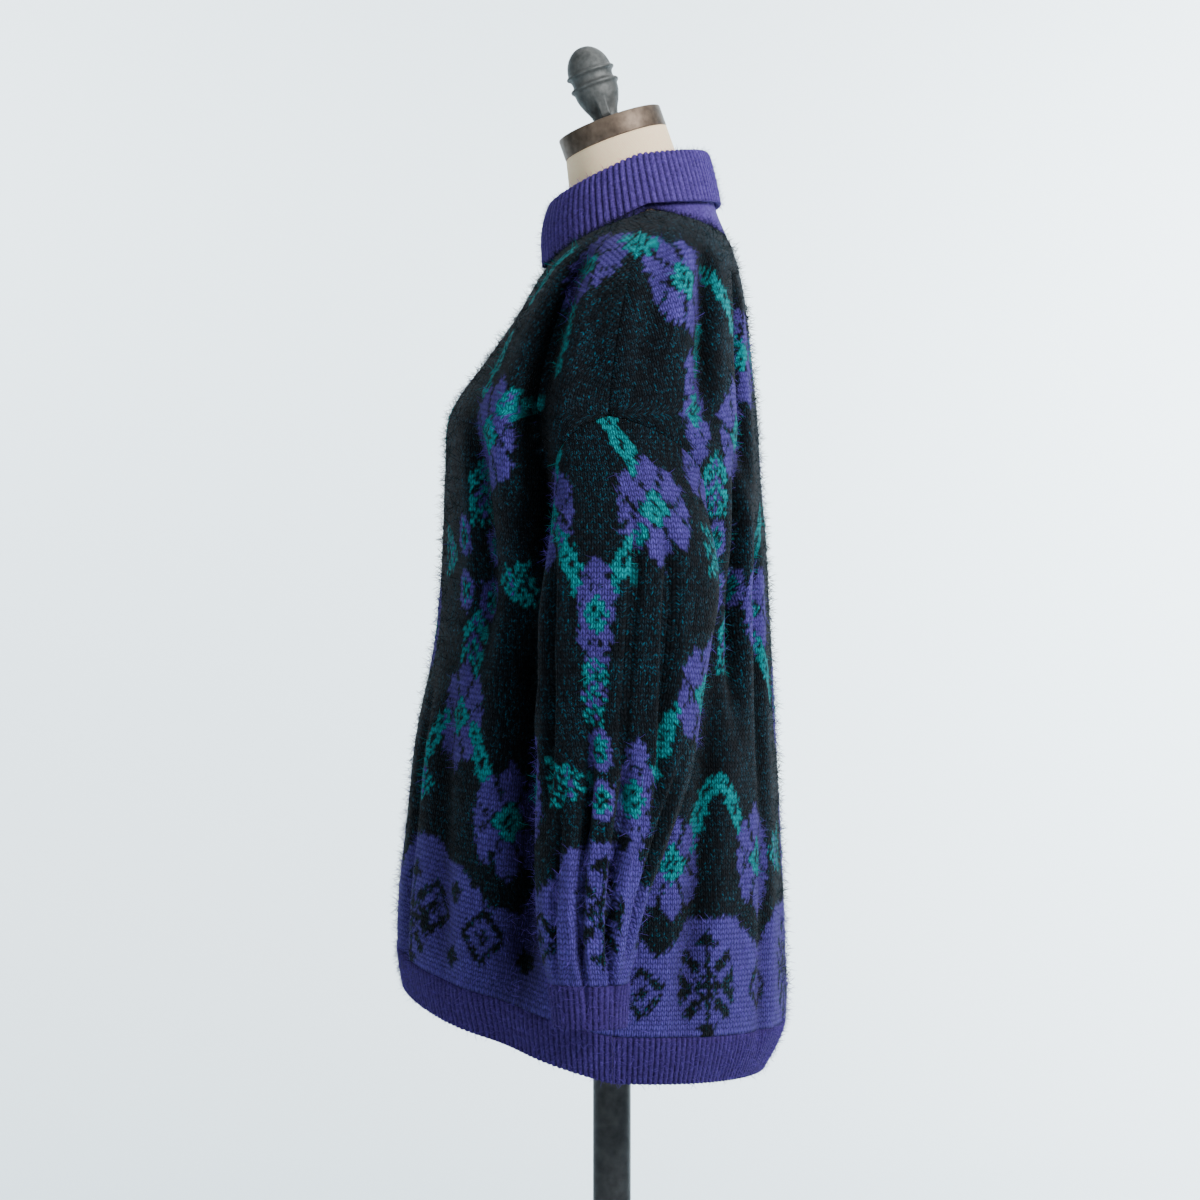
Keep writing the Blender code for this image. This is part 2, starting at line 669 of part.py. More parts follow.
def place_on_neck(cap, finial):
    """Tilts the cap and its finial forward, each just clear of what carries it."""
    axis = np.array([0.0, -sin(NECK_TILT), cos(NECK_TILT)])
    forward = np.array([0.0, cos(NECK_TILT), sin(NECK_TILT)])
    top = np.array(CAP_CENTRE)
    cap.location = top + axis * (CAP_HEIGHT / 2 + TOUCH_GAP)
    cap.rotation_euler = (NECK_TILT, 0.0, 0.0)
    foot = top + axis * (CAP_HEIGHT + 2 * TOUCH_GAP)
    finial.location = foot + forward * (FINIAL_FOOT_Y - foot[1]) / cos(NECK_TILT)
    finial.rotation_euler = (NECK_TILT, 0.0, 0.0)


def build_stand(collection):
    """A pole from the form's lower face to a round base on the floor."""
    profile = [(0.0, BASE[0][1]), *BASE, (0.0, 0.0)]
    turned_piece("stand_base", profile, BASE_SIDES, "dark_iron", collection)
    low = BASE[0][1] + TOUCH_GAP
    high = TORSO[0].z_front - TOUCH_GAP
    bpy.ops.mesh.primitive_cylinder_add(vertices=24, radius=POLE_RADIUS, depth=high - low)
    pole = bpy.context.object
    pole.name = "stand_pole"
    pole.data.name = "stand_pole"
    pole.users_collection[0].objects.unlink(pole)
    collection.objects.link(pole)
    pole.data.materials.append(material("dark_iron"))
    pole.location = (0.0, 0.0, (low + high) / 2)
    return pole


def main():
    clear_scene()
    parts = new_collection("mohair_turtleneck_on_dress_form")
    build_panel("front", False, parts)
    build_panel("back", True, parts)
    build_hem_rib("front_hem_rib", 0.0, parts)
    build_hem_rib("back_hem_rib", pi, parts)
    for side, word in ((1, "left"), (-1, "right")):
        build_sleeve(side, f"sleeve_{word}", parts)
        build_cuff(side, f"cuff_{word}", parts)
    build_collar(parts)
    build_torso(parts)
    place_on_neck(build_cap(parts), build_finial(parts))
    build_stand(parts)


main()
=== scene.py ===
"""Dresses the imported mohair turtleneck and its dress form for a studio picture."""

import json
import logging
from dataclasses import dataclass, replace
from enum import Enum
from math import cos, pi, radians, sin, tau
from typing import Callable, NamedTuple, Union

import bmesh
import bpy
import numpy as np
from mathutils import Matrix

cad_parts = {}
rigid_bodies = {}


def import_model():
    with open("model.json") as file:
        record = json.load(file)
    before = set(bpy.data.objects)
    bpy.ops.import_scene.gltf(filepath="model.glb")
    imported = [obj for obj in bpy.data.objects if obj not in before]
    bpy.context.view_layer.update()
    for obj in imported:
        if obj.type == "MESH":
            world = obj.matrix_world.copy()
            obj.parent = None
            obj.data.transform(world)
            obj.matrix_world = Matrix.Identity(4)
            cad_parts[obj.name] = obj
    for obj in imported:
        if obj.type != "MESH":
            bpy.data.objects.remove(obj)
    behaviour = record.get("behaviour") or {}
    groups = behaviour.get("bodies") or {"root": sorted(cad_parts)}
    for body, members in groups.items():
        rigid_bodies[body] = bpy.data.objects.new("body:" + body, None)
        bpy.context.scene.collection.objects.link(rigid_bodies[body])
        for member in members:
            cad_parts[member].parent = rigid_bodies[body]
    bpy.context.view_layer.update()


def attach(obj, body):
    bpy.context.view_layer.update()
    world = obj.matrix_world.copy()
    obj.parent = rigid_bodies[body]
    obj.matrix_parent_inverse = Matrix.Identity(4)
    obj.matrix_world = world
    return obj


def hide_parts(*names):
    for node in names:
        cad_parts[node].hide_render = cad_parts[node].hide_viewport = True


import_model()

LOG = logging.getLogger("scene")
BODY = "root"

WALL = 0.003
SEAM_GAP = 0.0004
RIB_RELIEF = 0.0017
HEIGHT_BLEND = 1.1
FOLD_FADE = 0.3
FOLD_TAPER = 0.25
# How much of a crease's depth its two shoulders stand out, and how many times wider they are.
FOLD_SWELL = 0.28
FOLD_REACH = 2.4
# Painted shade and highlight for folds: how light the brushed cloth is painted beside, down in and on top
# of a fold.
FOLD_LIGHT = 1.05
FOLD_DARK = 0.020
FOLD_DARKEST = 0.22
FOLD_PALEST = 1.55
# Each kind of fibre's bend and lean, in its own length.
FIBRE_BENDS = ((0.20, 0.1), (-0.30, 0.25), (0.45, -0.2), (-0.12, -0.4))
# How far a fibre leans either way, in radians, its shortest and longest share, and its half width.
FIBRE_LEAN = 1.35
FIBRE_LEAST = 0.35
FIBRE_MOST = 1.3
FIBRE_HALF_WIDTH = 0.019
SLOPE_STEP = 0.01
INNER_STEP = 5

# One knitted stitch: its width across a row, and the height of a row.
STITCH_WIDTH = 0.0042
ROW_HEIGHT = 0.0047
# How many rows higher a stitch's outer sides are than its middle, which makes its V.
STITCH_RISE = 0.9
# How far brushing blurs a change of yarn, in stitches.
BRUSHED = 0.22
BRUSH_SEED = 5
# How much finer than a stitch the second strand's flecks are, across and up.
FLECK_STRETCH = (1.7, 3.4, 1.0)

Colour = tuple[float, float, float]
Numbers = Union[float, np.ndarray]
Value = Union["Wire", bpy.types.NodeSocket, float, tuple]


class Ring(NamedTuple):
    """One level line: heights at front, side and back, half width, depths, and how square it is."""

    z_front: float
    z_side: float
    z_back: float
    half_width: float
    y_front: float
    y_side: float
    y_back: float
    squareness: float


class Tube(NamedTuple):
    """One ring of a sleeve: its middle height, its tilt, its middle and its half sizes."""

    z_middle: float
    z_tilt: float
    x_middle: float
    y_middle: float
    half_x: float
    half_y: float


class Crease(NamedTuple):
    """One crease: its angles at its two ends, its stations, its width in degrees and its depth."""

    low_angle: float
    high_angle: float
    low_station: float
    high_station: float
    width: float
    depth: float


class Stamp(NamedTuple):
    """A motif's place in a chart: its middle column and row, its turn, and its side if not both."""

    motif: tuple[str, ...]
    column: int
    row: int
    flipped: bool = False
    side: int = 0


BODY_RINGS = (
    Ring(0.685, 0.619, 0.611, 0.192, -0.192, 0.000, 0.140, 2.3),
    Ring(0.723, 0.661, 0.654, 0.204, -0.197, 0.000, 0.159, 2.3),
    Ring(0.777, 0.728, 0.722, 0.206, -0.195, 0.000, 0.159, 2.3),
    Ring(0.838, 0.802, 0.797, 0.206, -0.188, 0.000, 0.156, 2.3),
    Ring(0.912, 0.882, 0.878, 0.204, -0.180, 0.000, 0.152, 2.3),
    Ring(0.985, 0.962, 0.960, 0.201, -0.165, 0.001, 0.148, 2.3),
    Ring(1.045, 1.035, 1.035, 0.199, -0.158, 0.004, 0.144, 2.3),
    Ring(1.100, 1.090, 1.090, 0.219, -0.155, 0.005, 0.141, 2.3),
    Ring(1.152, 1.142, 1.148, 0.238, -0.153, 0.001, 0.136, 2.3),
    Ring(1.205, 1.190, 1.200, 0.249, -0.148, -0.004, 0.133, 2.3),
    Ring(1.250, 1.250, 1.252, 0.246, -0.117, 0.002, 0.128, 2.2),
    Ring(1.284, 1.304, 1.290, 0.234, -0.090, 0.012, 0.124, 2.2),
    Ring(1.308, 1.344, 1.320, 0.209, -0.074, 0.022, 0.119, 2.2),
    Ring(1.323, 1.366, 1.342, 0.168, -0.066, 0.029, 0.114, 2.2),
    Ring(1.333, 1.380, 1.357, 0.120, -0.062, 0.033, 0.110, 2.2),
    Ring(1.341, 1.386, 1.368, 0.080, -0.0585, 0.034, 0.106, 2.1),
)
PANEL_FOOT = 1.0
UNDERARM = 6.1
SLEEVE_TOP = 9.0
NECKLINE = 15.0
ARMHOLE_FRONT = radians(14.0)
ARMHOLE_BACK = radians(21.0)
ARMHOLE_ROUNDNESS = 0.75

LEFT_CREASES = (
    Crease(71, 77, 5.2, 12.8, 4.2, 0.044),
    Crease(52, 57, 4.6, 9.4, 4.5, 0.019),
    Crease(68, 69, 0.8, 6.6, 5.5, 0.030),
    Crease(60, 64, -0.8, 3.0, 9.0, 0.014),
    Crease(23, 27, 0.3, 5.0, 3.5, 0.013),
    Crease(46, 40, 0.4, 5.2, 5.0, 0.012),
    Crease(87, 85, 8.8, 12.3, 4.0, 0.008),
    Crease(97, 96, 9.0, 12.6, 3.5, 0.007),
    Crease(112, 108, 8.6, 12.4, 3.6, 0.021),
    Crease(131, 127, 7.2, 12.2, 3.8, 0.020),
    Crease(125, 125, 4.2, 8.9, 3.6, 0.027),
    Crease(140, 138, 3.0, 7.6, 4.0, 0.014),
    Crease(106, 118, 0.6, 5.6, 4.5, 0.014),
    Crease(134, 140, 0.3, 4.0, 4.0, 0.010),
)
RIGHT_CREASES = (
    Crease(70, 75, 5.4, 12.5, 4.6, 0.041),
    Crease(50, 54, 4.9, 9.0, 4.8, 0.017),
    Crease(71, 66, 0.9, 6.2, 5.5, 0.020),
    Crease(32, 24, 0.3, 4.6, 4.0, 0.012),
    Crease(52, 46, 0.4, 4.8, 5.0, 0.012),
    Crease(86, 88, 8.9, 12.2, 4.0, 0.007),
    Crease(99, 95, 9.2, 12.4, 4.0, 0.006),
    Crease(113, 110, 8.4, 12.1, 4.0, 0.020),
    Crease(134, 129, 7.0, 11.8, 4.0, 0.019),
    Crease(127, 124, 4.4, 8.6, 4.0, 0.025),
    Crease(142, 137, 2.8, 7.2, 4.0, 0.013),
    Crease(108, 120, 0.5, 5.2, 5.0, 0.013),
    Crease(130, 138, 0.3, 4.4, 4.5, 0.010),
)

SLEEVE_RINGS = (
    Tube(1.1175, 0.0725, 0.2280, 0.0200, 0.0230, 0.0780),
    Tube(1.0650, 0.0580, 0.2400, 0.0180, 0.0345, 0.0790),
    Tube(1.0100, 0.0350, 0.2450, 0.0110, 0.0380, 0.0740),
    Tube(0.9500, 0.0150, 0.2460, 0.0060, 0.0375, 0.0695),
    Tube(0.8900, 0.0040, 0.2465, 0.0010, 0.0370, 0.0655),
    Tube(0.8300, 0.0000, 0.2470, -0.0100, 0.0355, 0.0560),
    Tube(0.7850, 0.0000, 0.2470, -0.0180, 0.0335, 0.0475),
    Tube(0.7450, 0.0000, 0.2470, -0.0215, 0.0315, 0.0410),
    Tube(0.7130, 0.0000, 0.2470, -0.0205, 0.0280, 0.0345),
    Tube(0.6760, 0.0000, 0.2460, -0.0195, 0.0270, 0.0310),
)
CUFF_TOP = 8.0
CUFF_EDGE = 9.0
ARMHOLE_BLEND = 2.0
ARMHOLE_DROP = 0.050
ARMHOLE_TRIM = 0.994

LEFT_SLEEVE_CREASES = (
    Crease(24, 2, 3.0, 8.9, 5.0, 0.0190),
    Crease(357, 322, 3.2, 8.6, 5.5, 0.0210),
    Crease(10, 345, 1.6, 8.8, 10.0, -0.0035),
    Crease(354, 357, 0.9, 4.2, 4.0, 0.0090),
    Crease(334, 318, 0.8, 5.0, 6.0, 0.0120),
    Crease(306, 300, 3.6, 7.6, 7.0, 0.0110),
    Crease(62, 58, 0.8, 4.8, 7.0, 0.0110),
    Crease(40, 48, 4.0, 8.2, 6.0, 0.0075),
)
RIGHT_SLEEVE_CREASES = (
    Crease(20, 6, 3.2, 8.8, 5.5, 0.0180),
    Crease(352, 326, 3.4, 8.5, 6.0, 0.0195),
    Crease(8, 348, 1.8, 8.7, 10.0, -0.0035),
    Crease(350, 354, 0.9, 4.4, 4.5, 0.0085),
    Crease(330, 322, 0.8, 5.2, 6.5, 0.0110),
    Crease(304, 298, 3.8, 7.8, 7.5, 0.0105),
    Crease(66, 54, 0.7, 4.6, 7.0, 0.0110),
    Crease(44, 40, 4.2, 8.4, 6.0, 0.0070),
)

COLLAR_RINGS = (
    Ring(1.3416, 1.3866, 1.3686, 0.0785, -0.0573, 0.034, 0.1045, 2.1),
    Ring(1.3680, 1.4030, 1.3980, 0.0755, -0.0545, 0.031, 0.0925, 2.1),
    Ring(1.3830, 1.4200, 1.4260, 0.0730, -0.0515, 0.027, 0.0855, 2.1),
    Ring(1.3930, 1.4300, 1.4400, 0.0725, -0.0500, 0.025, 0.0830, 2.1),
    Ring(1.3985, 1.4345, 1.4450, 0.0755, -0.0530, 0.025, 0.0860, 2.1),
    Ring(1.3940, 1.4290, 1.4390, 0.0790, -0.0580, 0.025, 0.0895, 2.1),
    Ring(1.3700, 1.4110, 1.4190, 0.0840, -0.0632, 0.028, 0.0945, 2.1),
    Ring(1.3425, 1.3895, 1.3990, 0.0880, -0.0622, 0.032, 0.0985, 2.1),
)

# Charts of the knit, top row first. A row of half a chart runs from its middle column outward.
HALF_FLOWER = tuple(
    """
    P.......
    PP......
    PPP.....
    PPP.PP..
    PPP.PPP.
    PP.PPPP.
    PP.PPPPP
    T.PPPPP.
    TTPPPP.P
    .TT.P.PP
    T.TT.PPP
    """.split()
)
HALF_BUD = tuple(
    """
    P...
    PP..
    PPP.
    PP..
    PPP.
    P.PP
    PPPP
    TPPP
    TTP.
    .TPP
    T.TP
    """.split()
)
HALF_STAR = tuple(
    """
    T....
    T.TT.
    .TTTT
    TT.T.
    .TT..
    """.split()
)
LEAVES = tuple(
    """
    TT......
    T.T.....
    TT.T....
    .TTT....
    ..TTT...
    ..T.TT..
    ..TT.T..
    ...T.TT.
    ...TTTT.
    ....TT..
    .....TT.
    .....T.T
    .....TTT
    ......T.
    """.split()
)
SPRIG = tuple(
    """
    ..TT..TT
    .T.T.TTT
    TT.TTT.T
    T.TT.TT.
    TTT.TT..
    """.split()
)
HALF_FAN = tuple(
    """
    T...
    PT..
    TPT.
    .T.T
    P.TT
    TP.T
    .TP.
    P.TT
    TP.T
    .T.T
    P.T.
    .T.T
    """.split()
)
SIDE_FAN = tuple(
    """
    T.T......
    .T.T.T...
    ..T.TPT..
    T..T.T.T.
    .T..TPT.T
    T..T.T.T.
    ..T.TPT..
    .T.T.T...
    T.T......
    """.split()
)
DIAMOND = tuple(
    """
    .PPP.
    PPTPP
    PT.TP
    P.T.P
    PT.TP
    PPTPP
    .PPP.
    """.split()
)
HALF_SNOWFLAKE = tuple(
    """
    D......
    DD.....
    DDD....
    D......
    D...DD.
    D..DDD.
    D.DDD..
    D.DD..D
    DD...DD
    D.D.DDD
    DDDDDD.
    """.split()
)
HALF_HOLLOW = tuple(
    """
    D....
    DD...
    .DD..
    ..DD.
    D..DD
    DD..D
    """.split()
)
CROSS = tuple(
    """
    .DD.
    DDDD
    DDDD
    .DD.
    """.split()
)


def mirrored(half: tuple[str, ...], both: bool = True) -> tuple[str, ...]:
    """A whole motif from a half, or from a quarter.

    Args:
        half: rows from the middle column outward.
        both: whether the rows are mirrored about the last one too.

    Returns:
        The whole motif's rows.
    """
    rows = [row[:0:-1] + row for row in half]
    if both:
        rows += rows[-2::-1]
    return tuple(rows)


FLOWER = mirrored(HALF_FLOWER)
BUD = mirrored(HALF_BUD)
STAR = mirrored(HALF_STAR)
FAN = mirrored(HALF_FAN, both=False)
SLIM_FAN = tuple(row[1:-1] for row in FAN)
SNOWFLAKE = mirrored(HALF_SNOWFLAKE)
HOLLOW = mirrored(HALF_HOLLOW)


def between_rows(rows: tuple | np.ndarray, station: Numbers) -> np.ndarray:
    """Values of a table at fractional stations, on a smooth curve through every row.

    Args:
        rows: the table, a row for each whole station.
        station: one station or many.

    Returns:
        A row of values for each station.
    """
    table = np.array(rows, float)
    station = np.clip(np.asarray(station, float), 0.0, len(table) - 1.0)
    first = np.minimum(station.astype(int), len(table) - 2)
    part = (station - first).reshape(station.shape + (1,) * (table.ndim - 1))
    before = table[np.maximum(first - 1, 0)]
    start = table[first]
    end = table[first + 1]
    after = table[np.minimum(first + 2, len(table) - 1)]
    leave = (end - before) / 2
    arrive = (after - start) / 2
    return (
        (2 * part**3 - 3 * part**2 + 1) * start
        + (part**3 - 2 * part**2 + part) * leave
        + (3 * part**2 - 2 * part**3) * end
        + (part**3 - part**2) * arrive
    )


def ease(share: Numbers) -> np.ndarray:
    """A smooth step from 0 to 1."""
    share = np.clip(share, 0, 1)
    return share * share * (3 - 2 * share)


def crease_depth(creases: tuple[Crease, ...], station: Numbers, degrees: Numbers) -> np.ndarray:
    """How far the creases press a surface in at a station and an angle in degrees.

    Args:
        creases: the creases.
        station: where along the surface.
        degrees: where round it.

    Returns:
        The depth in metres, below 0 on the shoulders of a crease.
    """
    depth = np.zeros(np.broadcast(station, degrees).shape)
    for crease in creases:
        along = (station - crease.low_station) / (crease.high_station - crease.low_station)
        middle = crease.low_angle + (crease.high_angle - crease.low_angle) * along
        aside = (degrees - middle + 180) % 360 - 180
        window = ease(along / FOLD_FADE) * ease((1 - along) / FOLD_FADE)
        share = np.exp(-((aside / crease.width) ** 2))
        swell = FOLD_SWELL * np.exp(-((aside / crease.width / FOLD_REACH) ** 2))
        depth = depth + crease.depth * window * (share - swell)
    return depth


def painted_fold_shade(pressed: np.ndarray) -> np.ndarray:
    """Painted shade and highlight for a fold: dark down in a trough, and paler on a ridge."""
    return np.clip(FOLD_LIGHT - pressed / FOLD_DARK, FOLD_DARKEST, FOLD_PALEST)


@dataclass(frozen=True)
class RingForm:
    """A closed form through a table of level lines, with creases pressed into each side."""

    rings: tuple[Ring, ...]
    left: tuple[Crease, ...] = ()
    right: tuple[Crease, ...] = ()

    def pressed(self, station: Numbers, angle: Numbers) -> np.ndarray:
        """How far in the creases press at an angle from the front."""
        angle = (np.asarray(angle, float) + pi) % tau - pi
        degrees = np.degrees(np.abs(angle))
        left = crease_depth(self.left, station, degrees)
        right = crease_depth(self.right, station, degrees)
        return np.where(angle > 0, left, right)

    def point(self, station: Numbers, angle: Numbers) -> np.ndarray:
        """Points at an angle from the front, positive to the wearer's left."""
        station, angle = np.broadcast_arrays(np.asarray(station, float), np.asarray(angle, float))
        angle = (angle + pi) % tau - pi
        values = between_rows(self.rings, station)
        z_front, z_side, z_back, half_width, y_front, y_side, y_back, square = np.moveaxis(values, -1, 0)
        ahead = np.cos(angle)
        aside = np.sin(angle)
        front = ahead > 0
        depth = np.where(front, y_side - y_front, y_back - y_side)
        radius = (np.abs(aside / half_width) ** square + np.abs(ahead / depth) ** square) ** (-1 / square)
        radius = radius - self.pressed(station, angle) * np.abs(aside) ** FOLD_TAPER
        height = z_side + (np.where(front, z_front, z_back) - z_side) * np.abs(ahead) ** HEIGHT_BLEND
        return np.stack([radius * aside, y_side - radius * ahead, height], axis=-1)


BODY_FORM = RingForm(BODY_RINGS, LEFT_CREASES, RIGHT_CREASES)
COLLAR_FORM = RingForm(COLLAR_RINGS)


@dataclass(frozen=True)
class SleeveForm:
    """A sleeve's surface, on the wearer's left (side 1) or right (side -1)."""

    side: int

    def armhole(self, turn: Numbers) -> np.ndarray:
        """The line that both panels leave open, a seam's gap inside it, as on the wearer's left."""
        share = (1 + np.cos(turn) * ARMHOLE_TRIM) / 2
        station = UNDERARM + (SLEEVE_TOP - UNDERARM) * share
        ahead = np.sin(turn)
        opening = np.abs(ahead) ** (2 * ARMHOLE_ROUNDNESS) * ARMHOLE_TRIM
        aside = np.where(ahead > 0, -ARMHOLE_FRONT, ARMHOLE_BACK) * opening
        return BODY_FORM.point(station, self.side * (pi / 2 + aside)) * np.array([self.side, 1.0, 1.0])

    def pressed(self, station: Numbers, turn: Numbers) -> np.ndarray:
        """How far in the creases press at a turn."""
        creases = LEFT_SLEEVE_CREASES if self.side > 0 else RIGHT_SLEEVE_CREASES
        return crease_depth(creases, station, np.degrees(turn) % 360)

    def point(self, station: Numbers, turn: Numbers) -> np.ndarray:
        """Points at a turn: 0 is the outer side, a quarter turn the front."""
        station, turn = np.broadcast_arrays(np.asarray(station, float), np.asarray(turn, float))
        values = between_rows(SLEEVE_RINGS, station)
        z_middle, z_tilt, x_middle, y_middle, half_x, half_y = np.moveaxis(values, -1, 0)
        shrink = 1 - self.pressed(station, turn) / np.hypot(half_x * np.cos(turn), half_y * np.sin(turn))
        tube = np.stack(
            [
                x_middle + half_x * np.cos(turn) * shrink,
                y_middle - half_y * np.sin(turn) * shrink,
                z_middle + z_tilt * np.cos(turn),
            ],
            axis=-1,
        )
        share = ease(station / ARMHOLE_BLEND)[..., None]
        armhole = self.armhole(turn) - np.array([0.0, 0.0, ARMHOLE_DROP]) * station[..., None]
        placed = armhole * (1 - share) + tube * share
        return placed * np.array([self.side, 1.0, 1.0])


def outward(surface: Callable, station: Numbers, angle: Numbers) -> np.ndarray:
    """A surface's unit normal away from its middle, where its angles turn to the left.

    Args:
        surface: gives a point for a station and an angle.
        station: where along it.
        angle: where round it.

    Returns:
        A unit vector for each place.
    """
    station, angle = np.broadcast_arrays(np.asarray(station, float), np.asarray(angle, float))
    up = surface(station + SLOPE_STEP, angle) - surface(station - SLOPE_STEP, angle)
    across = surface(station, angle + SLOPE_STEP) - surface(station, angle - SLOPE_STEP)
    normal = np.cross(across, up)
    return normal / np.linalg.norm(normal, axis=-1, keepdims=True)


@dataclass(frozen=True)
class FlatCut:
    """Lays half a knitted piece flat, its first column and row on straight lines, its lengths kept."""

    row_step: int = 10
    column_step: int = 5
    rounds: int = 40

    def lay(self, points: np.ndarray) -> np.ndarray:
        """Flat places of a grid of points.

        Args:
            points: rows of points, from the cloth's middle column outward and from its foot up.

        Returns:
            Two lengths for each point: across from the middle column, and up from the foot.
        """
        coarse = points[:: self.row_step, :: self.column_step]
        rows, columns = coarse.shape[:2]
        index = np.arange(rows * columns).reshape(rows, columns)
        corners = np.concatenate(
            [
                np.stack([index[:-1, :-1], index[:-1, 1:], index[1:, :-1]], -1).reshape(-1, 3),
                np.stack([index[1:, 1:], index[1:, :-1], index[:-1, 1:]], -1).reshape(-1, 3),
            ]
        )
        place = coarse.reshape(-1, 3)
        first, second, third = (place[corners[:, k]] for k in range(3))
        side = second - first
        length = np.linalg.norm(side, axis=1)
        reach = np.einsum("ij,ij->i", third - first, side) / length
        height = np.linalg.norm(np.cross(side, third - first), axis=1) / length
        zero = np.zeros(len(corners))
        local = np.stack([zero, zero, length, zero, reach, height], 1).reshape(-1, 3, 2)
        across = np.linalg.norm(np.diff(coarse, axis=1), axis=2)
        up = np.linalg.norm(np.diff(coarse[:, 0], axis=0), axis=1)
        flat = np.zeros((rows, columns, 2))
        flat[:, 1:, 0] = np.cumsum(across, axis=1)
        flat[1:, :, 1] = np.cumsum(up)[:, None]
        flat = self._settle(flat.reshape(-1, 2), corners, local, index)
        return self._spread(flat.reshape(rows, columns, 2), points.shape[:2])

    def _settle(
        self, flat: np.ndarray, corners: np.ndarray, local: np.ndarray, index: np.ndarray
    ) -> np.ndarray:
        """Turns each triangle to its best place in turn, until the sheet keeps its lengths.

        Args:
            flat: first places of the coarse points, two lengths each.
            corners: each triangle's point numbers.
            local: each triangle's true shape, laid flat by itself.
            index: the point numbers as a grid.

        Returns:
            The settled places.
        """
        count = len(flat)
        matrix = np.zeros((count, count))
        edges = []
        for start, end, apex in ((0, 1, 2), (1, 2, 0), (2, 0, 1)):
            to_start = local[:, start] - local[:, apex]
            to_end = local[:, end] - local[:, apex]
            dot = np.einsum("ij,ij->i", to_start, to_end)
            cross = np.abs(to_start[:, 0] * to_end[:, 1] - to_start[:, 1] * to_end[:, 0])
            weight = np.maximum(dot / cross, 0.05)
            a, b = corners[:, start], corners[:, end]
            np.add.at(matrix, (a, a), weight)
            np.add.at(matrix, (b, b), weight)
            np.add.at(matrix, (a, b), -weight)
            np.add.at(matrix, (b, a), -weight)
            edges.append((a, b, weight, local[:, start] - local[:, end]))
        held = np.zeros(count, bool)
        held[index[0]] = True
        held[index[:, 0]] = True
        inverse = np.linalg.inv(matrix[np.ix_(~held, ~held)])
        pulled = matrix[np.ix_(~held, held)] @ flat[held]
        for _ in range(self.rounds):
            along = sum(w * np.einsum("ij,ij->i", x, flat[a] - flat[b]) for a, b, w, x in edges)
            beside = sum(
                w * (x[:, 0] * (flat[a] - flat[b])[:, 1] - x[:, 1] * (flat[a] - flat[b])[:, 0])
                for a, b, w, x in edges
            )
            size = np.hypot(along, beside)
            turn_cos, turn_sin = along / size, beside / size
            target = np.zeros_like(flat)
            for a, b, w, x in edges:
                ahead = turn_cos * x[:, 0] - turn_sin * x[:, 1]
                aside = turn_sin * x[:, 0] + turn_cos * x[:, 1]
                moved = w[:, None] * np.stack([ahead, aside], 1)
                np.add.at(target, a, moved)
                np.add.at(target, b, -moved)
            flat[~held] = inverse @ (target[~held] - pulled)
        return flat

    def _spread(self, flat: np.ndarray, shape: tuple[int, int]) -> np.ndarray:
        """The flat places of every fine point, between those of the coarse grid."""
        rows = between_rows(flat, np.arange(shape[0]) / self.row_step)
        return between_rows(rows.swapaxes(0, 1), np.arange(shape[1]) / self.column_step).swapaxes(0, 1)


@dataclass(frozen=True)
class KnitChart:
    """Half a knitted piece's chart of yarns, the same on both sides of its middle column."""

    columns: int
    rows: int
    stamps: tuple[Stamp, ...]
    band: tuple[tuple[int, int], ...]
    band_stamps: tuple[Stamp, ...] = ()

    def paint(self, side: int) -> np.ndarray:
        """The yarn of every stitch on one side: 0 the ground, 1 purple, 2 teal."""
        chart = np.zeros((self.rows, self.columns), int)
        for stamp in self.stamps:
            if stamp.side in (0, side):
                self._press(chart, stamp)
        columns, heights = np.array(self.band).T
        top = np.round(np.interp(np.arange(self.columns), columns, heights))
        chart[np.arange(self.rows)[:, None] < top[None, :]] = 1
        for stamp in self.band_stamps:
            self._press(chart, stamp)
        return chart

    def _press(self, chart: np.ndarray, stamp: Stamp) -> None:
        """Paints one motif over the chart."""
        for line_number, line in enumerate(stamp.motif):
            row = stamp.row + len(stamp.motif) // 2 - line_number
            line = line[::-1] if stamp.flipped else line
            for letter_number, letter in enumerate(line):
                column = abs(stamp.column + letter_number - len(line) // 2)
                if letter != "." and column < self.columns and 0 <= row < self.rows:
                    chart[row, column] = " PT".find(letter) if letter in "PT" else 0

    def yarn_at(self, across: np.ndarray, up: np.ndarray) -> np.ndarray:
        """The yarn at flat places in stitches and rows, with each stitch a V and its edges brushed.

        Args:
            across: stitches from the middle column, above 0 to the left.
            up: rows from the foot.

        Returns:
            For each place 0 for the ground, 1 for purple or 2 for teal.
        """
        brushed = np.random.default_rng(BRUSH_SEED)
        across = across + brushed.normal(0.0, BRUSHED, across.shape)
        up = up + brushed.normal(0.0, BRUSHED, across.shape)
        column = np.clip(np.abs(np.floor(across)).astype(int), 0, self.columns - 1)
        rise = STITCH_RISE * np.abs(across % 1 - 0.5)
        row = np.clip(np.floor(up - rise + STITCH_RISE / 4).astype(int), 0, self.rows - 1)
        return np.where(across > 0, self.paint(1)[row, column], self.paint(-1)[row, column])


class Slot(Enum):
    """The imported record's material slots."""

    GROUND = "mohair_ground"
    PURPLE = "mohair_purple"
    LINEN = "linen"
    BRONZE = "brushed_bronze"
    CAST_IRON = "cast_iron"
    DARK_IRON = "dark_iron"


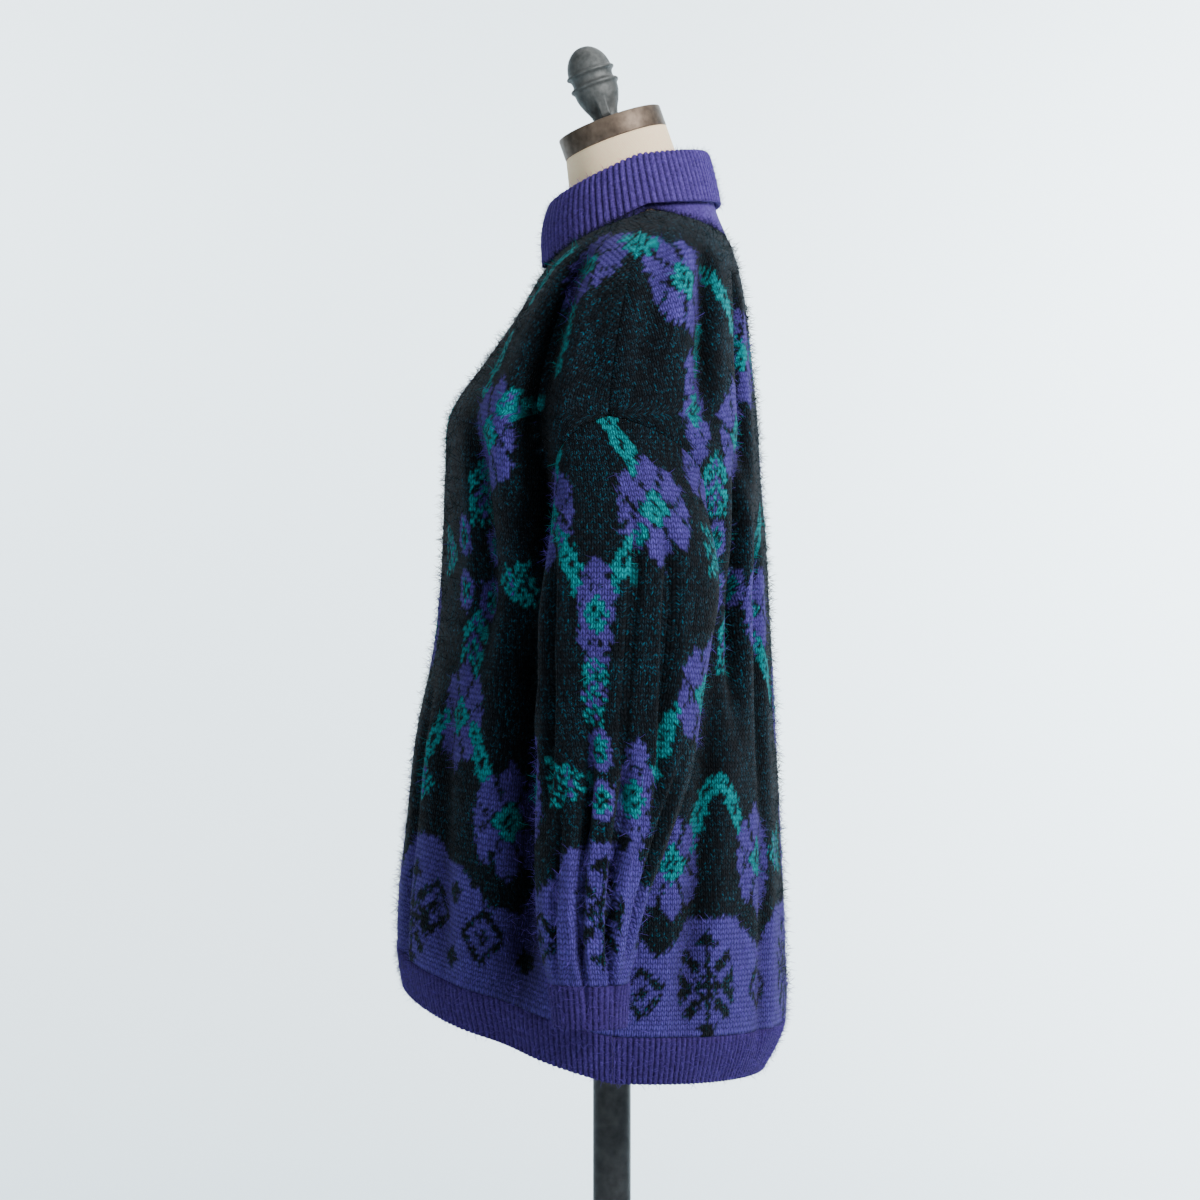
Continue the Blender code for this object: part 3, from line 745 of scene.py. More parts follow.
class Wire:
    """A number from a node, on which arithmetic adds more nodes."""

    def __init__(self, tree: "NodeTree", socket: bpy.types.NodeSocket) -> None:
        """Takes the tree to add to, and the socket that gives the number."""
        self.tree = tree
        self.socket = socket

    def step(self, operation: str, *values: "Value") -> "Wire":
        """One step of arithmetic on some values, or one function of this number."""
        inputs = dict(enumerate(values or (self,)))
        return Wire(self.tree, self.tree.add("ShaderNodeMath", inputs, operation=operation).outputs[0])

    def clamped(self) -> "Wire":
        """The same number, kept from 0 to 1."""
        self.socket.node.use_clamp = True
        return self

    def __add__(self, other: "Value") -> "Wire":
        """A sum."""
        return self.step("ADD", self, other)

    def __radd__(self, other: "Value") -> "Wire":
        """A sum with a plain number."""
        return self.step("ADD", other, self)

    def __mul__(self, other: "Value") -> "Wire":
        """A product."""
        return self.step("MULTIPLY", self, other)

    def __sub__(self, other: "Value") -> "Wire":
        """A difference."""
        return self.step("SUBTRACT", self, other)

    def __rsub__(self, other: "Value") -> "Wire":
        """A difference from a plain number."""
        return self.step("SUBTRACT", other, self)

    def __pow__(self, power: float) -> "Wire":
        """A power."""
        return self.step("POWER", self, power)


class NodeTree:
    """A short way to write a node tree: nodes by type, and links by value."""

    def __init__(self, tree: bpy.types.NodeTree) -> None:
        """Takes the tree to fill."""
        self.tree = tree

    def add(self, kind: str, inputs: dict | None = None, **settings) -> bpy.types.Node:
        """A node of a type, with its settings, and its inputs set or linked by name or number."""
        node = self.tree.nodes.new(kind)
        for name, value in settings.items():
            setattr(node, name, value)
        for key, value in (inputs or {}).items():
            self.feed(node.inputs[key], value)
        return node

    def feed(self, socket: bpy.types.NodeSocket, value: Value) -> None:
        """Links a socket to another one, or sets its value."""
        value = value.socket if isinstance(value, Wire) else value
        if isinstance(value, bpy.types.NodeSocket):
            self.tree.links.new(value, socket)
        else:
            socket.default_value = value

    def mix(self, share: Value, first: Value, second: Value) -> bpy.types.NodeSocket:
        """A mix of two colours."""
        inputs = {0: share, 6: first, 7: second}
        return self.add("ShaderNodeMix", inputs, data_type="RGBA").outputs[2]

    def scaled(self, colour: Value, share: Value) -> bpy.types.NodeSocket:
        """A colour made darker or lighter."""
        inputs = {0: colour, "Scale": share}
        return self.add("ShaderNodeVectorMath", inputs, operation="SCALE").outputs[0]

    def parts(self, vector: Value) -> tuple[Wire, Wire]:
        """The first two numbers of a vector."""
        outputs = self.add("ShaderNodeSeparateXYZ", {"Vector": vector}).outputs
        return Wire(self, outputs[0]), Wire(self, outputs[1])

    def together(self, across: Value, up: Value) -> bpy.types.NodeSocket:
        """A vector of two numbers."""
        return self.add("ShaderNodeCombineXYZ", {"X": across, "Y": up}).outputs[0]

    def noise(self, where: Value, scale: float, detail: float = 2.0) -> Wire:
        """A noise value at a place."""
        inputs = {"Vector": where, "Scale": scale, "Detail": detail}
        return Wire(self, self.add("ShaderNodeTexNoise", inputs).outputs[0])

    def yarns(self, yarn: Value, ground: Value, purple: Value, teal: Value) -> bpy.types.NodeSocket:
        """The colour of one of three yarns, by the red and green of the stored yarn."""
        parts = self.add("ShaderNodeSeparateColor", {"Color": yarn}).outputs
        return self.mix(parts[1], self.mix(parts[0], ground, purple), teal)


FLOAT = "NodeSocketFloat"
COLOUR = "NodeSocketColor"
VECTOR = "NodeSocketVector"
GEOMETRY = "NodeSocketGeometry"


def node_group(name: str, kind: str, inputs: dict[str, str], outputs: dict[str, str]) -> tuple:
    """An empty node group.

    Args:
        name: the group's name.
        kind: its tree's type.
        inputs: its input sockets' names and types.
        outputs: its output sockets' names and types.

    Returns:
        The group, its tree to fill, and its inputs by name.
    """
    group = bpy.data.node_groups.new(name, kind)
    for way, sockets in (("INPUT", inputs), ("OUTPUT", outputs)):
        for word, socket in sockets.items():
            group.interface.new_socket(word, in_out=way, socket_type=socket)
    tree = NodeTree(group)
    source = tree.add("NodeGroupInput").outputs
    return group, tree, {word: Wire(tree, source[word]) for word in inputs}


def stitch_group() -> bpy.types.NodeTree:
    """The relief of stocking stitch, a random number for each stitch, and each strand's own place."""
    group, tree, source = node_group(
        "stocking_stitch",
        "ShaderNodeTree",
        {"Flat": VECTOR, "Rise": FLOAT, "Fuzz": FLOAT},
        {"Height": FLOAT, "Leg": FLOAT, "Random": FLOAT, "Strand": VECTOR},
    )
    across, up = tree.parts(source["Flat"])
    aside = (across.step("FRACT") - 0.5).step("ABSOLUTE")
    lifted = up - source["Rise"] * aside + source["Rise"] * 0.25
    along = (lifted.step("FRACT") * pi).step("SINE") ** 0.7
    leg = along * (aside * tau).step("SINE").step("ABSOLUTE") ** 0.6
    cell = tree.together((across * 2.0).step("FLOOR"), lifted.step("FLOOR"))
    outputs = {
        "Height": leg + tree.noise(source["Flat"], 2.6, 4.0) * source["Fuzz"],
        "Leg": leg,
        "Random": tree.add("ShaderNodeTexWhiteNoise", {"Vector": cell}).outputs["Value"],
        "Strand": tree.together(across, lifted),
    }
    tree.add("NodeGroupOutput", outputs)
    return group


def mohair_group() -> bpy.types.NodeTree:
    """The colour of brushed mohair: three yarns, a second strand's flecks, and painted shade between legs
    and in folds.
    """
    inputs = {"Yarn": COLOUR, "Shade": FLOAT, "Depth": FLOAT, "Leg": FLOAT, "Random": FLOAT}
    inputs |= {"Place": VECTOR, "Strand": VECTOR}
    inputs |= {name: COLOUR for name in ("Ground", "Fleck", "Purple", "Teal")}
    outputs = {"Color": COLOUR, "Roughness": FLOAT}
    group, tree, source = node_group("mohair", "ShaderNodeTree", inputs, outputs)
    streak = tree.noise(source["Place"], 520.0, 4.0)
    patch = tree.noise(source["Place"], 26.0, 3.0)
    stretched = {0: source["Strand"], 1: FLECK_STRETCH}
    dash = tree.noise(tree.add("ShaderNodeVectorMath", stretched, operation="MULTIPLY").outputs[0], 1.0)
    chance = source["Random"] + (patch - 0.5) * 1.3
    fleck = ((dash - 0.50) * 9.0).clamped() * ((chance - 0.25) * 1.4).clamped()
    ground = tree.mix(fleck, source["Ground"], source["Fleck"])
    purple = tree.mix(fleck * 0.10, source["Purple"], source["Fleck"])
    # Painted shade: darker in the gaps between a stitch's legs, and by the stored shade of folds and rib
    # grooves.
    shade = (1.15 - source["Depth"] * (1.0 - source["Leg"])) * source["Shade"]
    shade = shade * (0.20 + streak * 1.60) * (0.80 + source["Random"] * 0.34) * (0.84 + patch * 0.32)
    colour = tree.scaled(tree.yarns(source["Yarn"], ground, purple, source["Teal"]), shade)
    tree.add("NodeGroupOutput", {"Color": colour, "Roughness": 0.78 + streak * 0.2})
    return group


@dataclass(frozen=True)
class Finish:
    """What every finish is: one shader, fed by its own sockets."""

    name: str

    def make(self) -> bpy.types.Material:
        """The material."""
        material = bpy.data.materials.new(self.name)
        material.use_nodes = True
        tree = NodeTree(material.node_tree)
        place = tree.add("ShaderNodeTexCoord").outputs["Object"]
        shader = material.node_tree.nodes["Principled BSDF"]
        for key, value in self.inputs(tree, place).items():
            tree.feed(shader.inputs[key], value)
        return material

    def inputs(self, tree: NodeTree, place: bpy.types.NodeSocket) -> dict:
        """What feeds the shader, by its sockets' names."""
        return {}


@dataclass(frozen=True)
class Mohair(Finish):
    """Brushed mohair knit in three yarns."""

    groups: dict[str, bpy.types.NodeTree]
    ground: Colour = (0.0060, 0.0078, 0.0104)
    fleck: Colour = (0.006, 0.056, 0.088)
    purple: Colour = (0.061, 0.044, 0.222)
    teal: Colour = (0.001, 0.195, 0.215)
    rise: float = STITCH_RISE
    fuzz: float = 0.55
    relief: float = 0.0011
    # How much painted shade darkens the gaps between stitch legs.
    depth: float = 0.75

    def inputs(self, tree: NodeTree, place: bpy.types.NodeSocket) -> dict:
        """The shared stitch and mohair groups, and a little sheen."""
        flat = tree.add("ShaderNodeUVMap", uv_map="flat").outputs[0]
        stored = tree.add("ShaderNodeAttribute", attribute_name="yarn").outputs
        sizes = {"Flat": flat, "Rise": self.rise, "Fuzz": self.fuzz}
        stitch = tree.add("ShaderNodeGroup", sizes, node_tree=self.groups["stitch"]).outputs
        tones = ("ground", "fleck", "purple", "teal")
        yarns = {tone.title(): (*getattr(self, tone), 1.0) for tone in tones}
        yarns |= {name: stitch[name] for name in ("Leg", "Random", "Strand")}
        # The stored alpha is the painted shade of folds and rib grooves.
        yarns |= {"Yarn": stored["Color"], "Shade": stored["Alpha"]}
        yarns |= {"Depth": self.depth, "Place": place}
        mohair = tree.add("ShaderNodeGroup", yarns, node_tree=self.groups["mohair"]).outputs
        bump = {"Height": stitch["Height"], "Distance": self.relief, "Strength": 0.9}
        return {
            "Base Color": mohair["Color"],
            "Roughness": mohair["Roughness"],
            "Normal": tree.add("ShaderNodeBump", bump).outputs[0],
            "Specular IOR Level": 0.05,
            "Sheen Weight": 0.05,
            "Sheen Roughness": 0.4,
            "Sheen Tint": (0.70, 0.72, 0.80, 1.0),
        }


@dataclass(frozen=True)
class Fibre(Finish):
    """The loose fibres that stand off the knit, in a paler tone of the yarn that each grows from."""

    ground: Colour = (0.0045, 0.0085, 0.0105)
    purple: Colour = (0.085, 0.052, 0.280)
    teal: Colour = (0.002, 0.180, 0.190)

    def inputs(self, tree: NodeTree, place: bpy.types.NodeSocket) -> dict:
        """The yarn's colour, brighter and darker from fibre to fibre."""
        yarn = tree.add("ShaderNodeAttribute", attribute_name="yarn").outputs["Color"]
        colour = tree.yarns(yarn, *((*tone, 1.0) for tone in (self.ground, self.purple, self.teal)))
        bright = 0.6 + tree.noise(place, 300.0) * 0.8
        return {"Base Color": tree.scaled(colour, bright), "Roughness": 0.9, "Specular IOR Level": 0.05}


@dataclass(frozen=True)
class Linen(Finish):
    """Plain woven linen, drawn tight over the form."""

    colour: Colour = (0.960, 0.740, 0.480)
    thread: float = 0.0009

    def inputs(self, tree: NodeTree, place: bpy.types.NodeSocket) -> dict:
        """The weave along the flat place, with slubs and faint stains."""
        across, up = tree.parts(tree.add("ShaderNodeUVMap", uv_map="flat").outputs[0])
        count = tau / 2 / self.thread
        weave = (across * count).step("SINE") * (up * count).step("SINE")
        slub, stain = tree.noise(place, 340.0, 3.0), tree.noise(place, 14.0, 3.0)
        shade = 1.02 + slub * 0.22 + weave * 0.05 + stain * 0.16
        return {
            "Base Color": tree.scaled(self.colour, shade),
            "Normal": tree.add("ShaderNodeBump", {"Height": weave, "Distance": 0.00025}).outputs[0],
            "Roughness": 0.85,
            "Sheen Weight": 0.04,
        }


@dataclass(frozen=True)
class Metal(Finish):
    """A worn metal with grain, stains and a bump."""

    colour: Colour
    worn: Colour
    roughness: float
    metallic: float
    grain: float
    relief: float

    def inputs(self, tree: NodeTree, place: bpy.types.NodeSocket) -> dict:
        """Two tones by a fine and a coarse noise, in object space."""
        grain = tree.noise(place, self.grain, 4.0)
        stain = tree.noise(place, self.grain / 9, 4.0)
        share = ((grain + stain - 0.75) * 2.0).clamped()
        return {
            "Base Color": tree.mix(share, (*self.colour, 1.0), (*self.worn, 1.0)),
            "Roughness": self.roughness - 0.1 + stain * 0.2,
            "Normal": tree.add("ShaderNodeBump", {"Height": grain, "Distance": self.relief}).outputs[0],
            "Metallic": self.metallic,
        }


BLACK_IRON = Metal(
    "black_iron",
    colour=(0.020, 0.020, 0.022),
    worn=(0.050, 0.050, 0.052),
    roughness=0.5,
    metallic=0.7,
    grain=90.0,
    relief=0.0002,
)
WORN_BRONZE = Metal(
    "worn_bronze",
    colour=(0.085, 0.062, 0.047),
    worn=(0.180, 0.136, 0.103),
    roughness=0.54,
    metallic=0.80,
    grain=150.0,
    relief=0.0002,
)
GREY_CASTING = Metal(
    "grey_casting",
    colour=(0.055, 0.061, 0.062),
    worn=(0.125, 0.130, 0.128),
    roughness=0.60,
    metallic=0.55,
    grain=190.0,
    relief=0.0005,
)


@dataclass(frozen=True)
class Paper(Finish):
    """The pale paper that the form stands on and before."""

    def inputs(self, tree: NodeTree, place: bpy.types.NodeSocket) -> dict:
        """Two tones by a broad noise."""
        tone = tree.mix(tree.noise(place, 0.6), (0.67, 0.78, 0.84, 1.0), (0.73, 0.84, 0.90, 1.0))
        return {"Base Color": tone, "Roughness": 0.9}


def quads(index: np.ndarray) -> list:
    """Four-sided faces of a grid of point numbers."""
    corners = [index[:-1, :-1], index[:-1, 1:], index[1:, 1:], index[1:, :-1]]
    return np.stack(corners, -1).reshape(-1, 4).tolist()


def ring_faces(rings: np.ndarray) -> list:
    """Faces of a stack of closed rings of points, with a lid at each end."""
    index = np.arange(rings[..., 0].size).reshape(rings.shape[:2])
    index = np.concatenate([index, index[:, :1]], axis=1)
    return quads(index) + [index[0, :-1].tolist(), index[-1, :-1].tolist()]


def finished(name: str, points: np.ndarray, faces: list, material: bpy.types.Material) -> bpy.types.Object:
    """An object at the origin from points and faces, its faces turned outward and smooth.

    Args:
        name: the object's name.
        points: a row for each point.
        faces: each face's point numbers.
        material: what it is made of.

    Returns:
        The object, linked to the scene.
    """
    mesh = bpy.data.meshes.new(name)
    mesh.from_pydata(points.tolist(), [], faces)
    shaped = bmesh.new()
    shaped.from_mesh(mesh)
    bmesh.ops.recalc_face_normals(shaped, faces=shaped.faces)
    shaped.to_mesh(mesh)
    shaped.free()
    mesh.materials.append(material)
    mesh.shade_smooth()
    piece = bpy.data.objects.new(name, mesh)
    bpy.context.scene.collection.objects.link(piece)
    return piece


def set_flat(piece: bpy.types.Object, flat: np.ndarray, turn: float = 0.0) -> None:
    """Stores each point's flat place as the UV map that the materials read.

    Args:
        piece: the object.
        flat: a place for each point.
        turn: the length of one whole turn across, where the mesh closes on itself, or 0.
    """
    mesh = piece.data
    corner = np.zeros(len(mesh.loops), int)
    mesh.loops.foreach_get("vertex_index", corner)
    places = flat[corner]
    if turn:
        first = np.zeros(len(mesh.polygons), int)
        mesh.polygons.foreach_get("loop_start", first)
        sizes = np.diff(np.append(first, len(corner)))
        widest = np.repeat(np.maximum.reduceat(places[:, 0], first), sizes)
        places[:, 0] += np.where(widest - places[:, 0] > turn / 2, turn, 0.0)
    mesh.uv_layers.new(name="flat").data.foreach_set("uv", places.astype(np.float32).ravel())


@dataclass(frozen=True)
class ClothWall:
    """A closed wall of cloth: a fine outer face, and a plain coarse inner one."""

    name: str
    outer: np.ndarray
    inner: np.ndarray
    closed: bool
    flat: np.ndarray
    yarn: np.ndarray
    turn: float = 0.0
    row_step: int = INNER_STEP
    column_step: int = INNER_STEP
    # Painted shade for each outer point: darker in creases and rib grooves, paler on fold ridges.
    shade: float | np.ndarray = 1.0

    def build(self, material: bpy.types.Material) -> bpy.types.Object:
        """The wall with its flat places and its yarns.

        Args:
            material: what it is made of.

        Returns:
            The wall.
        """
        rows, columns = self.outer.shape[:2]
        fine = np.arange(rows * columns).reshape(rows, columns)
        coarse = rows * columns + np.arange(self.inner[..., 0].size).reshape(self.inner.shape[:2])
        if self.closed:
            fine = np.concatenate([fine, fine[:, :1]], axis=1)
            coarse = np.concatenate([coarse, coarse[:, :1]], axis=1)
        faces = quads(fine) + quads(coarse)
        faces += self._edge(fine[0], coarse[0], self.column_step)
        faces += self._edge(fine[-1], coarse[-1], self.column_step)
        if not self.closed:
            faces += self._edge(fine[:, 0], coarse[:, 0], self.row_step)
            faces += self._edge(fine[:, -1], coarse[:, -1], self.row_step)
        points = np.concatenate([self.outer.reshape(-1, 3), self.inner.reshape(-1, 3)])
        piece = finished(self.name, points, faces, material)
        thin = (slice(None, None, self.row_step), slice(None, None, self.column_step))
        flat = np.concatenate([self.flat.reshape(-1, 2), self.flat[thin].reshape(-1, 2)])
        set_flat(piece, flat, self.turn)
        kinds = np.concatenate([self.yarn.ravel(), self.yarn[thin].ravel()])
        colours = np.zeros((len(kinds), 4), np.float32)
        colours[:, 0] = kinds == 1
        colours[:, 1] = kinds == 2
        colours[: self.yarn.size, 2] = 1.0
        colours[:, 3] = 1.0
        # The outer face's alpha holds the painted shade of folds and rib grooves.
        colours[: self.yarn.size, 3] = np.broadcast_to(self.shade, self.yarn.shape).ravel()
        stored = piece.data.color_attributes.new("yarn", "FLOAT_COLOR", "POINT")
        stored.data.foreach_set("color", colours.ravel())
        return piece

    def _edge(self, fine: np.ndarray, coarse: np.ndarray, step: int) -> list:
        """Faces that join a fine edge to a coarse one.

        Args:
            fine: point numbers along the fine edge.
            coarse: those along the coarse one.
            step: fine points to a coarse one.

        Returns:
            The faces.
        """
        faces = []
        for number in range(len(coarse) - 1):
            run = fine[number * step : (number + 1) * step + 1].tolist()
            faces.append([*run, int(coarse[number + 1]), int(coarse[number])])
        return faces


def grid_normals(points: np.ndarray, closed: bool, away_from: tuple[float, float]) -> np.ndarray:
    """Unit normals of a grid of points, pointing away from an upright line at its lowest row.

    Args:
        points: rows of points.
        closed: whether each row joins up with itself.
        away_from: the upright line's place.

    Returns:
        A unit vector for each point.
    """
    if closed:
        wrapped = np.concatenate([points[:, -1:], points, points[:, :1]], axis=1)
        across = wrapped[:, 2:] - wrapped[:, :-2]
    else:
        across = np.gradient(points, axis=1)
    normal = np.cross(across, np.gradient(points, axis=0))
    normal /= np.linalg.norm(normal, axis=-1, keepdims=True)
    away = points[0, :, :2] - np.array(away_from)
    return normal * np.sign(np.sum(away * normal[0, :, :2]))


def even_stations(surface: Callable, low: float, high: float, count: int, angles: np.ndarray) -> np.ndarray:
    """Stations that cut a surface into rows of even height, measured along a few lines.

    Args:
        surface: gives a point for a station and an angle.
        low: the first station.
        high: the last one.
        count: how many there are.
        angles: the lines to measure along.

    Returns:
        The stations, in order.
    """
    fine = np.linspace(low, high, 200)
    grid, turned_angles = np.meshgrid(fine, angles, indexing="ij")
    steps = np.linalg.norm(np.diff(surface(grid, turned_angles), axis=0), axis=2).mean(axis=1)
    length = np.append(0.0, np.cumsum(steps))
    return np.interp(np.linspace(0, length[-1], count), length, fine)


def lay_both(points: np.ndarray) -> np.ndarray:
    """Flat places, in stitches and rows, of a piece with an odd number of columns."""
    middle = points.shape[1] // 2
    cut = FlatCut()
    after = cut.lay(points[:, middle:])
    before = cut.lay(points[:, middle::-1])
    flat = np.concatenate([before[:, :0:-1] * np.array([-1.0, 1.0]), after], axis=1)
    return flat / np.array([STITCH_WIDTH, ROW_HEIGHT]) + np.array([0.5, 0.0])


@dataclass(frozen=True)
class BodyPanel:
    """The front or the back of the sweater, above its hem rib."""

    name: str
    back: bool
    chart: KnitChart
    rows: int = 301
    half_columns: int = 156
    seam_dip: float = 0.0012
    seam_width: float = 0.006

    def angles(self, station: np.ndarray) -> np.ndarray:
        """Each row's angles, from one side seam or armhole to the other."""
        share = np.clip((station - UNDERARM) / (SLEEVE_TOP - UNDERARM), 0, 1)
        opening = np.maximum(0.0, 1 - (2 * share - 1) ** 2) ** ARMHOLE_ROUNDNESS
        cut = (ARMHOLE_BACK if self.back else ARMHOLE_FRONT) * opening
        trim = SEAM_GAP / 2 / between_rows(BODY_RINGS, station)[:, 3]
        shares = np.linspace(0, 1, self.half_columns)[None, :]
        half = shares * pi / 2 - shares**3 * cut[:, None] - shares * trim[:, None]
        if self.back:
            half = pi - half
            return np.concatenate([half[:, ::-1], (tau - half)[:, 1:]], axis=1)
        return np.concatenate([-half[:, ::-1], half[:, 1:]], axis=1)

    def build(self, material: bpy.types.Material) -> bpy.types.Object:
        """The panel as a wall of cloth, with its chart knitted in.

        Args:
            material: what it is made of.

        Returns:
            The panel.
        """
        lines = np.radians([10, 40, 70] if not self.back else [170, 140, 110])
        station = even_stations(BODY_FORM.point, PANEL_FOOT, NECKLINE, self.rows, lines)
        angles = self.angles(station)
        grid = np.repeat(station[:, None], angles.shape[1], axis=1)
        surface = BODY_FORM.point(grid, angles)
        # Painted shade down in each crease, and a painted highlight on its shoulders.
        shade = painted_fold_shade(BODY_FORM.pressed(grid, angles))
        normal = grid_normals(surface, False, (0.0, 0.0))
        flat = lay_both(surface)
        reach = np.abs(flat[..., 0] - 0.5).max(axis=1, keepdims=True)
        from_seam = (reach - np.abs(flat[..., 0] - 0.5)) * STITCH_WIDTH
        dip = self.seam_dip * np.exp(-((from_seam / self.seam_width) ** 2))
        outer = surface - dip[..., None] * normal
        inner = (surface - WALL * normal)[::INNER_STEP, ::INNER_STEP]
        yarn = self.chart.yarn_at(flat[..., 0], flat[..., 1])
        return ClothWall(self.name, outer, inner, False, flat, yarn, shade=shade).build(material)


@dataclass(frozen=True)
class Sleeve:
    """One sleeve from its cuff up to its armhole, sewn along the underside."""

    name: str
    side: int
    chart: KnitChart
    swing: tuple[tuple[float, float], ...]
    rows: int = 201
    columns: int = 201

    def build(self, material: bpy.types.Material) -> bpy.types.Object:
        """The sleeve as a wall of cloth, with its chart knitted in.

        Args:
            material: what it is made of.

        Returns:
            The sleeve.
        """
        form = SleeveForm(self.side)
        turns = np.linspace(-pi, pi, self.columns) * (1 - SEAM_GAP)
        station = even_stations(form.point, 0.0, CUFF_TOP, self.rows, np.radians([0, 90, 180, 270]))[::-1]
        grid, turned_angles = np.meshgrid(station, turns, indexing="ij")
        surface = form.point(grid, turned_angles)
        middle = surface[0, :, :2].mean(axis=0)
        normal = grid_normals(surface, False, tuple(middle))
        inner = (surface - WALL * normal)[::INNER_STEP, ::INNER_STEP]
        flat = lay_both(surface)
        rows_up, forward = np.array(self.swing).T
        flat[..., 0] -= np.interp(flat[..., 1], rows_up, forward)
        yarn = self.chart.yarn_at(flat[..., 0], flat[..., 1])
        # Painted shade down in each crease, and a painted highlight on its ridges.
        shade = painted_fold_shade(form.pressed(grid, turned_angles))
        return ClothWall(self.name, surface, inner, False, flat, yarn, shade=shade).build(material)


@dataclass(frozen=True)
class RibBand:
    """A ribbed band: round the hem, a cuff or the neck."""

    name: str
    surface: Callable
    head: float
    ribs: int
    foot: float = 0.0
    first_turn: float = 0.0
    last_turn: float = tau
    closed: bool = True
    rows: int = 13
    centre: tuple[float, float] = (0.0, 0.0)
    points_per_rib: int = 6
    row_step: int = 4
    turned_in: bool = False
    groove: float = 0.17
    # How dark the painted shade down in each groove is.
    painted_groove_shade: float = 0.62
    unevenness: float = 0.25
    waves: tuple[float, float] = (2.3, 0.7)

    def build(self, material: bpy.types.Material) -> bpy.types.Object:
        """The band as a wall of cloth with raised ribs.

        Args:
            material: what it is made of.

        Returns:
            The band.
        """
        columns = self.ribs * self.points_per_rib + (0 if self.closed else 1)
        turns = np.linspace(self.first_turn, self.last_turn, columns, endpoint=not self.closed)
        station = np.linspace(self.foot, self.head, self.rows)
        grid, turned_angles = np.meshgrid(station, turns, indexing="ij")
        middle = self.surface(grid, turned_angles)
        normal = grid_normals(middle, self.closed, self.centre) * (-1 if self.turned_in else 1)
        number = np.arange(columns) / self.points_per_rib
        beside = (number + 0.5) % 1 - 0.5
        long_wave, short_wave = (np.sin(number * wave) for wave in self.waves)
        uneven = 1 + self.unevenness * long_wave * short_wave
        sunk = np.exp(-(((np.abs(beside) - 0.5) / self.groove) ** 2))
        relief = RIB_RELIEF * uneven * (0.5 - sunk)
        lift = WALL / 2 if self.turned_in else 0.0
        outer = middle + (lift + relief)[None, :, None] * normal
        thin = (slice(None, None, self.row_step), slice(None, None, self.points_per_rib))
        inner = (middle + (lift - WALL) * normal)[thin]
        height = np.append(0, np.cumsum(np.linalg.norm(np.diff(middle, axis=0), axis=2).mean(axis=1)))
        across = np.broadcast_to(number * 2 + 0.5, middle.shape[:2])
        flat = np.stack([across, np.repeat(height[:, None] / ROW_HEIGHT, columns, axis=1)], axis=-1)
        turn = self.ribs * 2.0 if self.closed else 0.0
        yarn = np.ones(flat.shape[:2], int)
        # Painted shade down in each groove between the ribs.
        shade = 1 - self.painted_groove_shade * sunk
        steps = (self.row_step, self.points_per_rib)
        wall = ClothWall(self.name, outer, inner, self.closed, flat, yarn, turn, *steps, shade)
        return wall.build(material)


